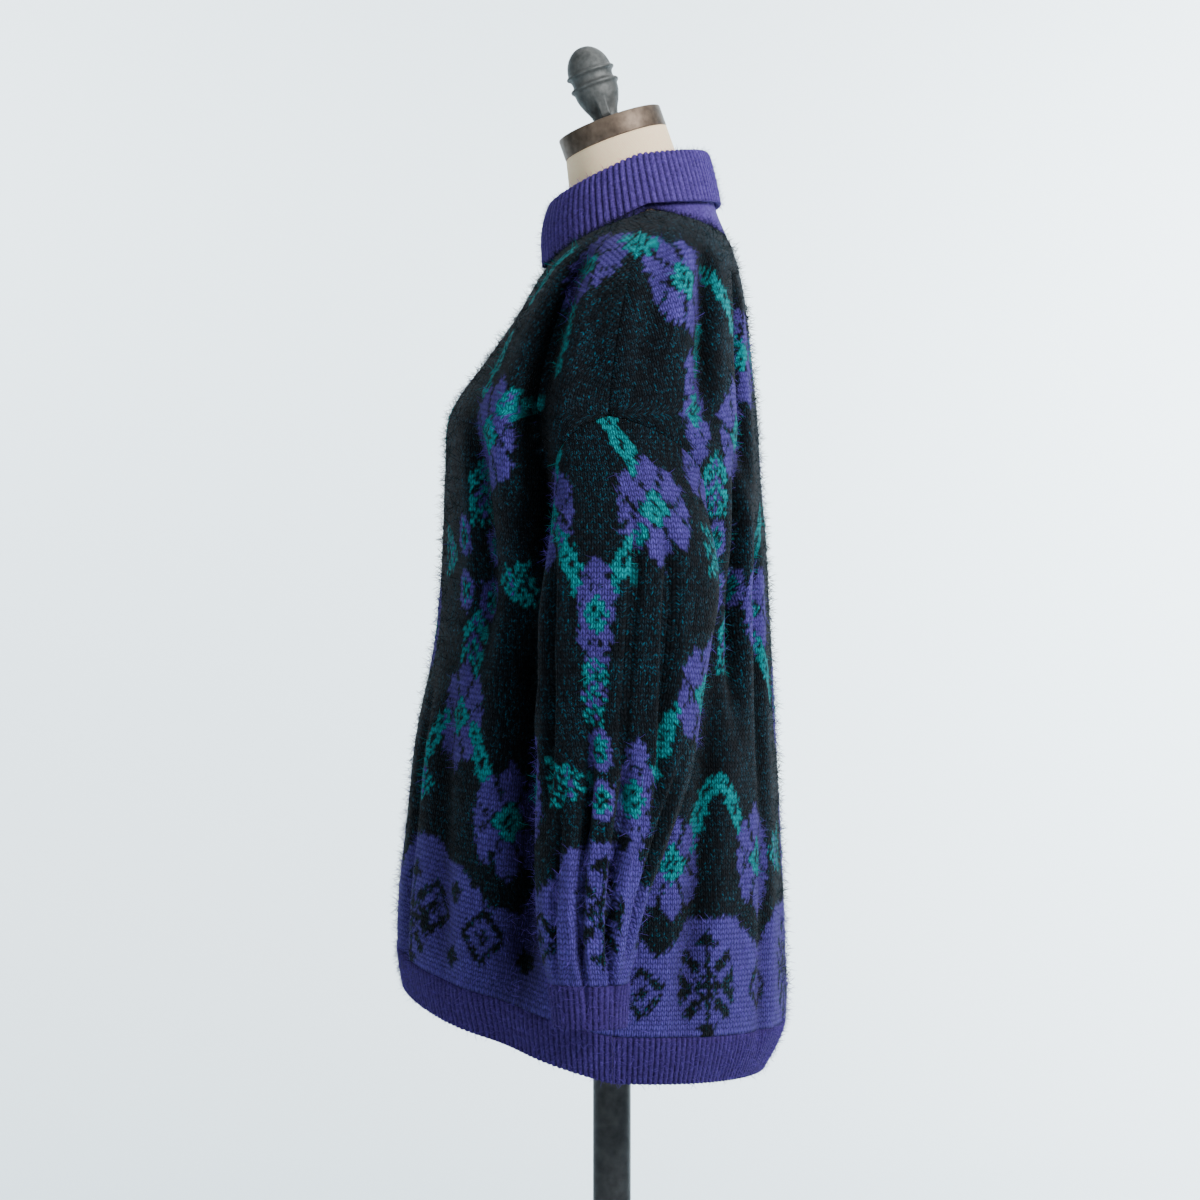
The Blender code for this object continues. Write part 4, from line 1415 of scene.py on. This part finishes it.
class HaloTree:
    """The geometry nodes that scatter loose fibres over the outer face of a cloth."""

    def __init__(self) -> None:
        """Builds the node tree and the few fibres that it scatters."""
        self.fibres = bpy.data.collections.new("fibres")
        for number, (bend, lean) in enumerate(FIBRE_BENDS):
            self._fibre(number, bend, lean)
        inputs = {"Geometry": GEOMETRY, "Density": FLOAT, "Length": FLOAT, "Seed": "NodeSocketInt"}
        inputs |= {"Fibres": "NodeSocketCollection", "Material": "NodeSocketMaterial"}
        outputs = {"Geometry": GEOMETRY}
        self.group, tree, source = node_group("mohair_halo", "GeometryNodeTree", inputs, outputs)

        def result(kind: str, inputs: dict, number: int = 0, **settings) -> bpy.types.NodeSocket:
            """One output of a new node."""
            return tree.add(kind, inputs, **settings).outputs[number]

        yarn = result("GeometryNodeInputNamedAttribute", {"Name": "yarn"}, data_type="FLOAT_COLOR")
        blue = result("FunctionNodeSeparateColor", {"Color": yarn}, 2)
        outer = result("FunctionNodeCompare", {"A": blue, "B": 0.9}, operation="GREATER_THAN")
        where = {"Mesh": source["Geometry"], "Selection": outer}
        where |= {"Density": source["Density"], "Seed": source["Seed"]}
        points = tree.add("GeometryNodeDistributePointsOnFaces", where).outputs
        pick = {"Collection": source["Fibres"], "Separate Children": True, "Reset Children": True}
        least, most = (-FIBRE_LEAN, -FIBRE_LEAN, 0.0), (FIBRE_LEAN, FIBRE_LEAN, tau)
        lean = {"Min": least, "Max": most, "Seed": source["Seed"]}
        lean = result("FunctionNodeRandomValue", lean, data_type="FLOAT_VECTOR")
        turn = result("FunctionNodeEulerToRotation", {"Euler": lean})
        turn = {"Rotation": points["Rotation"], "Rotate By": turn}
        size = {2: source["Length"] * FIBRE_LEAST, 3: source["Length"] * FIBRE_MOST}
        placed = {
            "Points": points["Points"],
            "Instance": result("GeometryNodeCollectionInfo", pick),
            "Pick Instance": True,
            "Rotation": result("FunctionNodeRotateRotation", turn, rotation_space="LOCAL"),
            "Scale": result("FunctionNodeRandomValue", size, 1, data_type="FLOAT"),
        }
        placed = result("GeometryNodeInstanceOnPoints", placed)
        real = result("GeometryNodeRealizeInstances", {"Geometry": placed})
        dressed = {"Geometry": real, "Material": source["Material"]}
        tree.add("NodeGroupOutput", {"Geometry": result("GeometryNodeSetMaterial", dressed)})

    def _fibre(self, number: int, bend: float, lean: float) -> None:
        """One fibre a unit long, bent once, that tapers to a point."""
        knee_x, knee_y, knee_z = bend * 0.5, lean * 0.4, 0.55
        points = [(-FIBRE_HALF_WIDTH, 0, 0), (FIBRE_HALF_WIDTH, 0, 0)]
        points += [(knee_x + FIBRE_HALF_WIDTH, knee_y, knee_z), (knee_x - FIBRE_HALF_WIDTH, knee_y, knee_z)]
        points += [(bend, lean, 0.92)]
        mesh = bpy.data.meshes.new(f"fibre_{number}")
        mesh.from_pydata(points, [], [(0, 1, 2, 3), (3, 2, 4)])
        self.fibres.objects.link(bpy.data.objects.new(f"fibre_{number}", mesh))

    def grow(
        self,
        cloth: bpy.types.Object,
        density: float,
        length: float,
        seed: int,
        material: bpy.types.Material,
    ) -> bpy.types.Object:
        """Scatters fibres over a cloth and returns them as one plain mesh.

        Args:
            cloth: the cloth that they stand on.
            density: fibres to a square metre.
            length: their usual length.
            seed: what the scatter starts from.
            material: what they are made of.

        Returns:
            The fibres' object.
        """
        values = {"Density": density, "Length": length, "Seed": seed}
        values |= {"Fibres": self.fibres, "Material": material}
        modifier = cloth.modifiers.new("halo", "NODES")
        modifier.node_group = self.group
        for item in self.group.interface.items_tree:
            if item.in_out == "INPUT" and item.name in values:
                modifier[item.identifier] = values[item.name]
        cloth.update_tag()
        bpy.context.view_layer.update()
        depsgraph = bpy.context.evaluated_depsgraph_get()
        mesh = bpy.data.meshes.new_from_object(cloth.evaluated_get(depsgraph))
        cloth.modifiers.remove(modifier)
        halo = bpy.data.objects.new(f"{cloth.name}_halo", mesh)
        bpy.context.scene.collection.objects.link(halo)
        return halo

    def clear(self) -> None:
        """Removes the fibres that were scattered from."""
        for item in list(self.fibres.objects):
            bpy.data.objects.remove(item)
        bpy.data.collections.remove(self.fibres)


TORSO_RINGS = (
    Ring(0.690, 0.690, 0.690, 0.126, -0.092, 0.012, 0.108, 2.2),
    Ring(0.712, 0.712, 0.712, 0.139, -0.106, 0.012, 0.122, 2.2),
    Ring(0.780, 0.780, 0.780, 0.158, -0.122, 0.012, 0.133, 2.2),
    Ring(0.850, 0.850, 0.850, 0.162, -0.124, 0.012, 0.134, 2.2),
    Ring(0.930, 0.930, 0.930, 0.147, -0.110, 0.010, 0.116, 2.2),
    Ring(1.010, 1.010, 1.010, 0.130, -0.100, 0.008, 0.098, 2.2),
    Ring(1.080, 1.080, 1.080, 0.140, -0.120, 0.008, 0.098, 2.2),
    Ring(1.140, 1.140, 1.140, 0.151, -0.138, 0.006, 0.106, 2.2),
    Ring(1.200, 1.200, 1.200, 0.158, -0.143, 0.004, 0.113, 2.2),
    Ring(1.250, 1.250, 1.250, 0.164, -0.110, 0.010, 0.117, 2.2),
    Ring(1.288, 1.292, 1.288, 0.172, -0.080, 0.016, 0.116, 2.2),
)
SHOULDERS = ((12.75, 0.0008), (13.50, 0.0008), (14.25, 0.0008), (15.00, 0.0030))
NECK = ((0.20, 0.0590, 0.0620), (0.45, 0.0535, 0.0555), (0.75, 0.0505, 0.0515), (1.00, 0.0490, 0.0490))
NECK_FOOT = (0.0, 0.0270, 1.3640)
NECK_TILT = radians(19.5)
CAP_CENTRE = (0.0, 0.0040, 1.4560)
CAP_HEIGHT = 0.0195
CAP_RADIUS = 0.0493
NECK_AXIS = np.array([0.0, -sin(NECK_TILT), cos(NECK_TILT)])
NECK_FORWARD = np.array([0.0, cos(NECK_TILT), sin(NECK_TILT)])
TOUCH_GAP = 0.0003
FINIAL_FOOT_Y = -0.0035
FINIAL = (
    (0.0000, 0.0746),
    (0.0055, 0.0738),
    (0.0105, 0.0712),
    (0.0150, 0.0668),
    (0.0182, 0.0615),
    (0.0200, 0.0560),
    (0.0208, 0.0520),
    (0.0226, 0.0502),
    (0.0226, 0.0485),
    (0.0203, 0.0465),
    (0.0193, 0.0430),
    (0.0198, 0.0400),
    (0.0226, 0.0380),
    (0.0226, 0.0358),
    (0.0207, 0.0335),
    (0.0198, 0.0270),
    (0.0168, 0.0185),
    (0.0138, 0.0125),
    (0.0122, 0.0080),
    (0.0120, 0.0030),
    (0.0136, 0.0000),
    (0.0000, 0.0000),
)
TAB_HALF_WIDTH = 0.0052
TAB_EDGE = 0.0012
TAB_FOOT = 0.0040
TAB_TOP = 0.0230
TAB_REACH = 0.0178
BASE = (
    (0.0000, 0.0700),
    (0.0250, 0.0700),
    (0.0290, 0.0690),
    (0.0310, 0.0660),
    (0.0320, 0.0420),
    (0.0400, 0.0320),
    (0.0700, 0.0240),
    (0.1300, 0.0180),
    (0.1850, 0.0150),
    (0.1960, 0.0120),
    (0.2000, 0.0060),
    (0.1980, 0.0000),
    (0.0000, 0.0000),
)
POLE_RADIUS = 0.0175


def lathed(profile: tuple, sides: int, smooth: int) -> tuple[np.ndarray, list]:
    """Points and faces of a solid of revolution.

    Args:
        profile: radius and height, from the top of the axis to its foot.
        sides: how many sides it has.
        smooth: how many steps lie between two of the profile's points.

    Returns:
        The points and the faces.
    """
    count = (len(profile) - 1) * smooth + 1
    curve = between_rows(profile, np.arange(count) / smooth)[1:-1]
    curve[:, 0] = np.maximum(curve[:, 0], 0.0002)
    turns = np.arange(sides) * tau / sides
    radius = curve[:, None, 0]
    heights = np.repeat(curve[:, 1:], sides, axis=1)
    rings = np.stack([radius * np.cos(turns), radius * np.sin(turns), heights], axis=-1)
    return rings.reshape(-1, 3), ring_faces(rings)


def tilted(points: np.ndarray, foot: np.ndarray) -> np.ndarray:
    """Points set on the neck's tilted axis at a foot."""
    across, along, up = points.T
    ahead = along * cos(NECK_TILT) - up * sin(NECK_TILT)
    height = along * sin(NECK_TILT) + up * cos(NECK_TILT)
    return np.stack([across, ahead, height], 1) + foot


class DressForm:
    """The linen form, its metal cap and knob, and the stand."""

    columns = 96
    knob_columns = 112
    pole_columns = 64
    neck_rows = 16
    edge = 0.0009
    linen_turn = 0.06
    sharp = radians(40)
    base_sharp = radians(50)

    def torso(self, material: bpy.types.Material) -> bpy.types.Object:
        """The linen-covered shell up to the top of its neck."""
        angles = np.arange(self.columns) * tau / self.columns
        form = RingForm(TORSO_RINGS)
        plain = RingForm(BODY_RINGS)
        rings = [form.point(station, angles) for station in range(len(TORSO_RINGS))]
        for station, gap in SHOULDERS:
            away = outward(BODY_FORM.point, station, angles)
            rings.append(plain.point(station, angles) - (WALL + gap) * away)
        for row in between_rows(NECK, np.linspace(0, len(NECK) - 1, self.neck_rows)):
            rings.append(self._neck_ring(*row, angles))
        points = np.array(rings)
        piece = finished("torso_linen", points.reshape(-1, 3), ring_faces(points), material)
        across = np.broadcast_to(angles * self.linen_turn, points.shape[:2])
        set_flat(piece, np.stack([across, points[..., 2]], -1).reshape(-1, 2), tau * self.linen_turn)
        return piece

    def _neck_ring(
        self, share: float, half_width: float, half_depth: float, angles: np.ndarray
    ) -> np.ndarray:
        """A ring of the neck, tilted a little more the higher it is."""
        foot, top = np.array(NECK_FOOT), np.array(CAP_CENTRE)
        tilt = NECK_TILT * share
        along = half_depth * -np.cos(angles)
        across = half_width * np.sin(angles)
        return foot + (top - foot) * share + np.stack([across, along * cos(tilt), along * sin(tilt)], -1)

    def cap(self, material: bpy.types.Material) -> bpy.types.Object:
        """The metal disc on the neck, its edges worn round."""
        edge, part = self.edge, self.edge * 0.3
        profile = (
            (0.0, CAP_HEIGHT),
            (CAP_RADIUS - edge, CAP_HEIGHT),
            (CAP_RADIUS - part, CAP_HEIGHT - part),
            (CAP_RADIUS, CAP_HEIGHT - edge),
            (CAP_RADIUS, edge),
            (CAP_RADIUS - part, part),
            (CAP_RADIUS - edge, 0.0),
            (0.0, 0.0),
        )
        points, faces = lathed(profile, self.columns, 1)
        foot = np.array(CAP_CENTRE) + NECK_AXIS * TOUCH_GAP
        return self._creased("neck_cap_metal", tilted(points, foot), faces, material, self.sharp)

    def _creased(
        self, name: str, points: np.ndarray, faces: list, material: bpy.types.Material, angle: float
    ) -> bpy.types.Object:
        """An object whose edges are sharp past an angle."""
        piece = finished(name, points, faces, material)
        piece.data.set_sharp_from_angle(angle=angle)
        return piece

    def finial(self, material: bpy.types.Material) -> bpy.types.Object:
        """The cast knob on the cap, with a flat tab on each side of its stem."""
        points, faces = lathed(FINIAL, self.knob_columns, 3)
        across, along, up = points.T
        tab = ease((TAB_HALF_WIDTH - np.abs(along)) / TAB_EDGE)
        tab = tab * ease((up - TAB_FOOT) / TAB_EDGE) * ease((TAB_TOP - up) / TAB_EDGE)
        points[:, 0] += np.sign(across) * tab * np.maximum(0.0, TAB_REACH - np.abs(across))
        foot = np.array(CAP_CENTRE) + NECK_AXIS * (CAP_HEIGHT + 2 * TOUCH_GAP)
        foot = foot + NECK_FORWARD * (FINIAL_FOOT_Y - foot[1]) / cos(NECK_TILT)
        return finished("finial_casting", tilted(points, foot), faces, material)

    def pole(self, material: bpy.types.Material) -> bpy.types.Object:
        """The tube under the form."""
        low = BASE[0][1] + TOUCH_GAP
        high = TORSO_RINGS[0].z_front - TOUCH_GAP
        profile = ((0.0, high), (POLE_RADIUS, high), (POLE_RADIUS, low), (0.0, low))
        points, faces = lathed(profile, self.pole_columns, 1)
        return self._creased("stand_pole_tube", points, faces, material, self.sharp)

    def base(self, material: bpy.types.Material) -> bpy.types.Object:
        """The round foot of the stand."""
        points, faces = lathed(BASE, self.columns, 1)
        return self._creased("stand_base_casting", points, faces, material, self.base_sharp)


class Lamp(NamedTuple):
    """A soft square light: its place, how wide it is, its power in watts, and the place that it faces."""

    name: str
    place: tuple[float, float, float]
    size: float
    power: float
    at: tuple[float, float, float] = (0.0, 0.0, 1.05)


LAMPS = (
    Lamp("key", (1.7, 1.7, 2.3), 1.0, 118.0),
    Lamp("fill", (2.4, -1.8, 1.9), 1.8, 16.0),
    Lamp("top", (-0.6, 0.6, 3.2), 2.0, 34.0),
    Lamp("backdrop_-1", (-1.3, -1.9, 2.2), 1.6, 165.0, (-9.0, -1.9, 2.2)),
    Lamp("backdrop_1", (-1.3, 1.9, 1.7), 1.6, 300.0, (-9.0, 1.9, 1.7)),
)


class Studio:
    """A pale sweep, soft lights and the camera."""

    bend = 0.8
    back = -2.6
    half_width = 7.0
    front = 6.0
    top = 5.0

    def build(self) -> None:
        """Sets the whole studio up."""
        self._sweep()
        for lamp in LAMPS:
            self._light(lamp)
        world = bpy.data.worlds.new("studio_world")
        world.use_nodes = True
        sky = world.node_tree.nodes["Background"]
        sky.inputs["Color"].default_value = (0.82, 0.90, 0.93, 1.0)
        sky.inputs["Strength"].default_value = 0.34
        bpy.context.scene.world = world
        self._camera()

    def _sweep(self) -> None:
        """A floor that curves up into a wall behind the form."""
        profile = [(self.front, 0.0)]
        for turn in np.linspace(0, pi / 2, 16):
            profile += [(self.back - self.bend * sin(turn), self.bend * (1 - cos(turn)))]
        profile += [(self.back - self.bend, self.top)]
        points = [(x, y, z) for x, z in profile for y in (-self.half_width, self.half_width)]
        faces = [(2 * k, 2 * k + 1, 2 * k + 3, 2 * k + 2) for k in range(len(profile) - 1)]
        mesh = bpy.data.meshes.new("sweep")
        mesh.from_pydata(points, [], faces)
        mesh.shade_smooth()
        mesh.materials.append(Paper("pale_paper").make())
        sweep = bpy.data.objects.new("sweep", mesh)
        bpy.context.scene.collection.objects.link(sweep)

    def _light(self, lamp: Lamp) -> None:
        """One of the lights."""
        data = bpy.data.lights.new(lamp.name, "AREA")
        data.size = lamp.size
        data.energy = lamp.power
        light = bpy.data.objects.new(lamp.name, data)
        light.location = lamp.place
        toward = np.array(lamp.at) - np.array(lamp.place)
        yaw = np.arctan2(toward[1], toward[0])
        light.rotation_euler = (np.arctan2(np.hypot(toward[0], toward[1]), -toward[2]), 0.0, yaw - pi / 2)
        bpy.context.scene.collection.objects.link(light)

    def _camera(self) -> None:
        """The camera at the photograph's place, level and to the wearer's left."""
        data = bpy.data.cameras.new("camera")
        data.lens = 91.0
        data.sensor_width = 36.0
        camera = bpy.data.objects.new("camera", data)
        camera.location = (2.8, -0.011, 1.035)
        camera.rotation_euler = (pi / 2, 0.0, pi / 2)
        bpy.context.scene.collection.objects.link(camera)
        bpy.context.scene.camera = camera


# The scalloped top of each border: a column, and its height in rows.
FRONT_BAND = ((0, 25), (6, 25), (13, 16), (19, 24), (31, 25), (35, 22), (42, 22), (49, 16))
FRONT_BAND += ((55, 16), (61, 23), (84, 24))
BACK_BAND = ((0, 16), (7, 23), (24, 23), (30, 17), (33, 15), (38, 18), (43, 22), (54, 22))
BACK_BAND += ((58, 18), (62, 15), (70, 22), (84, 24))
SLEEVE_BAND = ((0, 26), (9, 25), (13, 19), (17, 16), (22, 22), (40, 25))
FRONT_CHART = KnitChart(
    columns=84,
    rows=160,
    stamps=(
        Stamp(FLOWER, 53, 136),
        Stamp(STAR, 57, 147),
        Stamp(LEAVES, 61, 122),
        Stamp(LEAVES, 39, 131, flipped=True),
        Stamp(LEAVES, 37, 113),
        Stamp(FLOWER, 46, 101),
        Stamp(SPRIG, 52, 107),
        Stamp(FAN, 39, 89),
        Stamp(DIAMOND, 33, 81),
        Stamp(DIAMOND, 42, 80),
        Stamp(DIAMOND, 33, 71),
        Stamp(DIAMOND, 40, 70),
        Stamp(SIDE_FAN, 24, 77),
        Stamp(SIDE_FAN, 51, 74, flipped=True),
        Stamp(FAN, 37, 61),
        Stamp(FLOWER, 36, 48),
        Stamp(LEAVES, 27, 41, flipped=True),
        Stamp(LEAVES, 45, 40),
        Stamp(FLOWER, 52, 31),
        Stamp(SIDE_FAN, 24, 34),
        Stamp(FLOWER, 0, 112),
        Stamp(LEAVES, 12, 124),
        Stamp(LEAVES, 12, 99, flipped=True),
        Stamp(FLOWER, 8, 62),
        Stamp(FLOWER, 0, 34),
    ),
    band=FRONT_BAND,
    band_stamps=(
        Stamp(CROSS, 20, 15),
        Stamp(HOLLOW, 33, 12),
        Stamp(SNOWFLAKE, 26, 9),
        Stamp(CROSS, 41, 16),
        Stamp(HOLLOW, 48, 10),
        Stamp(CROSS, 41, 4),
        Stamp(CROSS, 58, 7),
        Stamp(SNOWFLAKE, 0, 12),
        Stamp(SNOWFLAKE, 71, 12),
    ),
)
BACK_CHART = KnitChart(
    columns=84,
    rows=170,
    stamps=(
        Stamp(FLOWER, 55, 141),
        Stamp(STAR, 59, 152),
        Stamp(LEAVES, 42, 136, flipped=True),
        Stamp(LEAVES, 53, 126),
        Stamp(FLOWER, 29, 127),
        Stamp(SIDE_FAN, 16, 127),
        Stamp(BUD, 57, 118),
        Stamp(FLOWER, 42, 112),
        Stamp(FAN, 52, 103),
        Stamp(DIAMOND, 51, 93),
        Stamp(DIAMOND, 41, 93),
        Stamp(DIAMOND, 49, 83),
        Stamp(DIAMOND, 37, 83),
        Stamp(SPRIG, 60, 94),
        Stamp(FAN, 44, 73),
        Stamp(FLOWER, 27, 79),
        Stamp(LEAVES, 25, 91),
        Stamp(LEAVES, 23, 67, flipped=True),
        Stamp(FLOWER, 8, 60),
        Stamp(FLOWER, 0, 104),
        Stamp(LEAVES, 10, 92, flipped=True),
        Stamp(LEAVES, 51, 40),
        Stamp(LEAVES, 43, 41, flipped=True),
        Stamp(FLOWER, 59, 32),
        Stamp(FLOWER, 34, 32),
        Stamp(SIDE_FAN, 22, 33),
        Stamp(FLOWER, 6, 34),
    ),
    band=BACK_BAND,
    band_stamps=(
        Stamp(SNOWFLAKE, 50, 9),
        Stamp(HOLLOW, 34, 8),
        Stamp(HOLLOW, 65, 8),
        Stamp(SNOWFLAKE, 17, 10),
        Stamp(HOLLOW, 0, 8),
        Stamp(CROSS, 79, 10),
    ),
)
SLEEVE_CHART = KnitChart(
    columns=70,
    rows=120,
    stamps=(
        Stamp(LEAVES, 8, 97),
        Stamp(FLOWER, 12, 85),
        Stamp(LEAVES, 6, 75, flipped=True),
        Stamp(BUD, 0, 66),
        Stamp(SLIM_FAN, 0, 52),
        Stamp(DIAMOND, 0, 42),
        Stamp(DIAMOND, 0, 33),
        Stamp(SIDE_FAN, 9, 36, flipped=True, side=1),
        Stamp(BUD, 19, 35, side=1),
        Stamp(FLOWER, 28, 56, side=1),
        Stamp(BUD, 8, 34, side=-1),
        Stamp(LEAVES, 16, 44, flipped=True, side=-1),
        Stamp(FLOWER, 26, 53, side=-1),
        Stamp(SIDE_FAN, 27, 78),
        Stamp(FLOWER, 36, 70),
        Stamp(FLOWER, 30, 96),
    ),
    band=SLEEVE_BAND,
    band_stamps=(
        Stamp(SNOWFLAKE, 0, 13),
        Stamp(HOLLOW, 16, 8),
    ),
)
# The ribs' purple, and a darker copy of it for the hem and cuffs: painted shade, as they sit low where less
# light reaches.
RIB_PURPLE = (0.074, 0.046, 0.218)
SHADED_RIB_PURPLE = (0.040, 0.023, 0.125)
# Where the bands end, in stations, how many ribs they have, and the middles that they face away from.
HEM_TOP = 0.99
HEM_RIBS = 132
CUFF_GAP = 0.01
CUFF_RIBS = 40
CUFF_MIDDLE = (0.246, -0.0195)
COLLAR_END = 7.0
COLLAR_RIBS = 92
COLLAR_ROWS = 45
COLLAR_MIDDLE = (0.0, 0.02)
# How the chart's middle column lies on the sleeve: rows up from the cuff, and stitches forward.
SLEEVE_SWING = ((0.0, -3.5), (20.0, -1.5), (50.0, 5.0), (104.0, 6.0))


@dataclass(frozen=True)
class Cut:
    """What a piece of cloth measures flat, and how thickly its fibres stand."""

    width: float
    length: float
    area: float | None = None
    slot: Slot = Slot.GROUND
    fibres: float = 60000.0
    fibre_length: float = 0.0085


@dataclass(frozen=True)
class RibCut(Cut):
    """The same of a ribbed band, whose fibres are shorter and closer together."""

    slot: Slot = Slot.PURPLE
    fibres: float = 125000.0
    fibre_length: float = 0.0062


def main() -> None:
    """Builds the sweater, the form and the studio, and reports each piece."""
    logging.basicConfig(level=logging.INFO, format="%(message)s")
    groups = {"stitch": stitch_group(), "mohair": mohair_group()}
    knitted = Mohair("mohair_knit", groups)
    ribbed = replace(
        knitted, name="mohair_rib", purple=RIB_PURPLE, rise=0.7, fuzz=1.2, relief=0.0003, depth=0.12
    )
    knit, rib = knitted.make(), ribbed.make()
    # The hem and cuffs take a darker copy of the rib finish, painted shade for their low place.
    edge = replace(ribbed, name="mohair_edge", purple=SHADED_RIB_PURPLE).make()
    fibre = Fibre("mohair_fibre").make()
    form = DressForm()
    iron = BLACK_IRON.make()
    hard = (
        (form.torso(Linen("linen_cover").make()), "torso", Slot.LINEN),
        (form.cap(WORN_BRONZE.make()), "neck_cap", Slot.BRONZE),
        (form.finial(GREY_CASTING.make()), "finial", Slot.CAST_IRON),
        (form.pole(iron), "stand_pole", Slot.DARK_IRON),
        (form.base(iron), "stand_base", Slot.DARK_IRON),
    )
    for piece, node, slot in hard:
        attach(piece, BODY)
        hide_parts(node)
        LOG.info("%s: %d faces", piece.name, len(piece.data.polygons))

    panel = Cut(0.62, 0.72)
    arm = Cut(0.42, 0.47, area=0.133)
    hem, wrist, neck = RibCut(0.56, 0.045), RibCut(0.19, 0.037), RibCut(0.51, 0.13)
    trim = SEAM_GAP / 2 / BODY_RINGS[0].half_width
    cloths = [
        (BodyPanel("front_knit", False, FRONT_CHART).build(knit), "front", panel),
        (BodyPanel("back_knit", True, BACK_CHART).build(knit), "back", panel),
    ]
    for name, start in (("front_hem_rib", -pi / 2), ("back_hem_rib", pi / 2)):
        turns = {"first_turn": start + trim, "last_turn": start + pi - trim}
        band = RibBand(f"{name}_knit", BODY_FORM.point, HEM_TOP, HEM_RIBS, **turns, closed=False)
        cloths.append((band.build(edge), name, hem))
    for side, word in ((1, "left"), (-1, "right")):
        sleeve = Sleeve(f"sleeve_{word}_knit", side, SLEEVE_CHART, SLEEVE_SWING)
        cloths.append((sleeve.build(knit), f"sleeve_{word}", arm))
        middle = (side * CUFF_MIDDLE[0], CUFF_MIDDLE[1])
        surface = SleeveForm(side).point
        band = (CUFF_TOP + CUFF_GAP, CUFF_RIBS, CUFF_EDGE)
        cuff = RibBand(f"cuff_{word}_knit", surface, *band, centre=middle)
        cloths.append((cuff.build(edge), f"cuff_{word}", wrist))
    place = {"rows": COLLAR_ROWS, "centre": COLLAR_MIDDLE, "turned_in": True}
    collar = RibBand("collar_knit", COLLAR_FORM.point, COLLAR_END, COLLAR_RIBS, **place)
    cloths.append((collar.build(rib), "collar", neck))
    halo = HaloTree()
    for seed, (piece, node, cut) in enumerate(cloths):
        fibres = halo.grow(piece, cut.fibres, cut.fibre_length, seed, fibre)
        for item in (piece, fibres):
            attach(item, BODY)
        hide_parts(node)
        faces, hairs = (len(item.data.polygons) for item in (piece, fibres))
        LOG.info("%s: %d faces and %d of fibres", piece.name, faces, hairs)
    halo.clear()
    Studio().build()


if __name__ == "__main__":
    main()
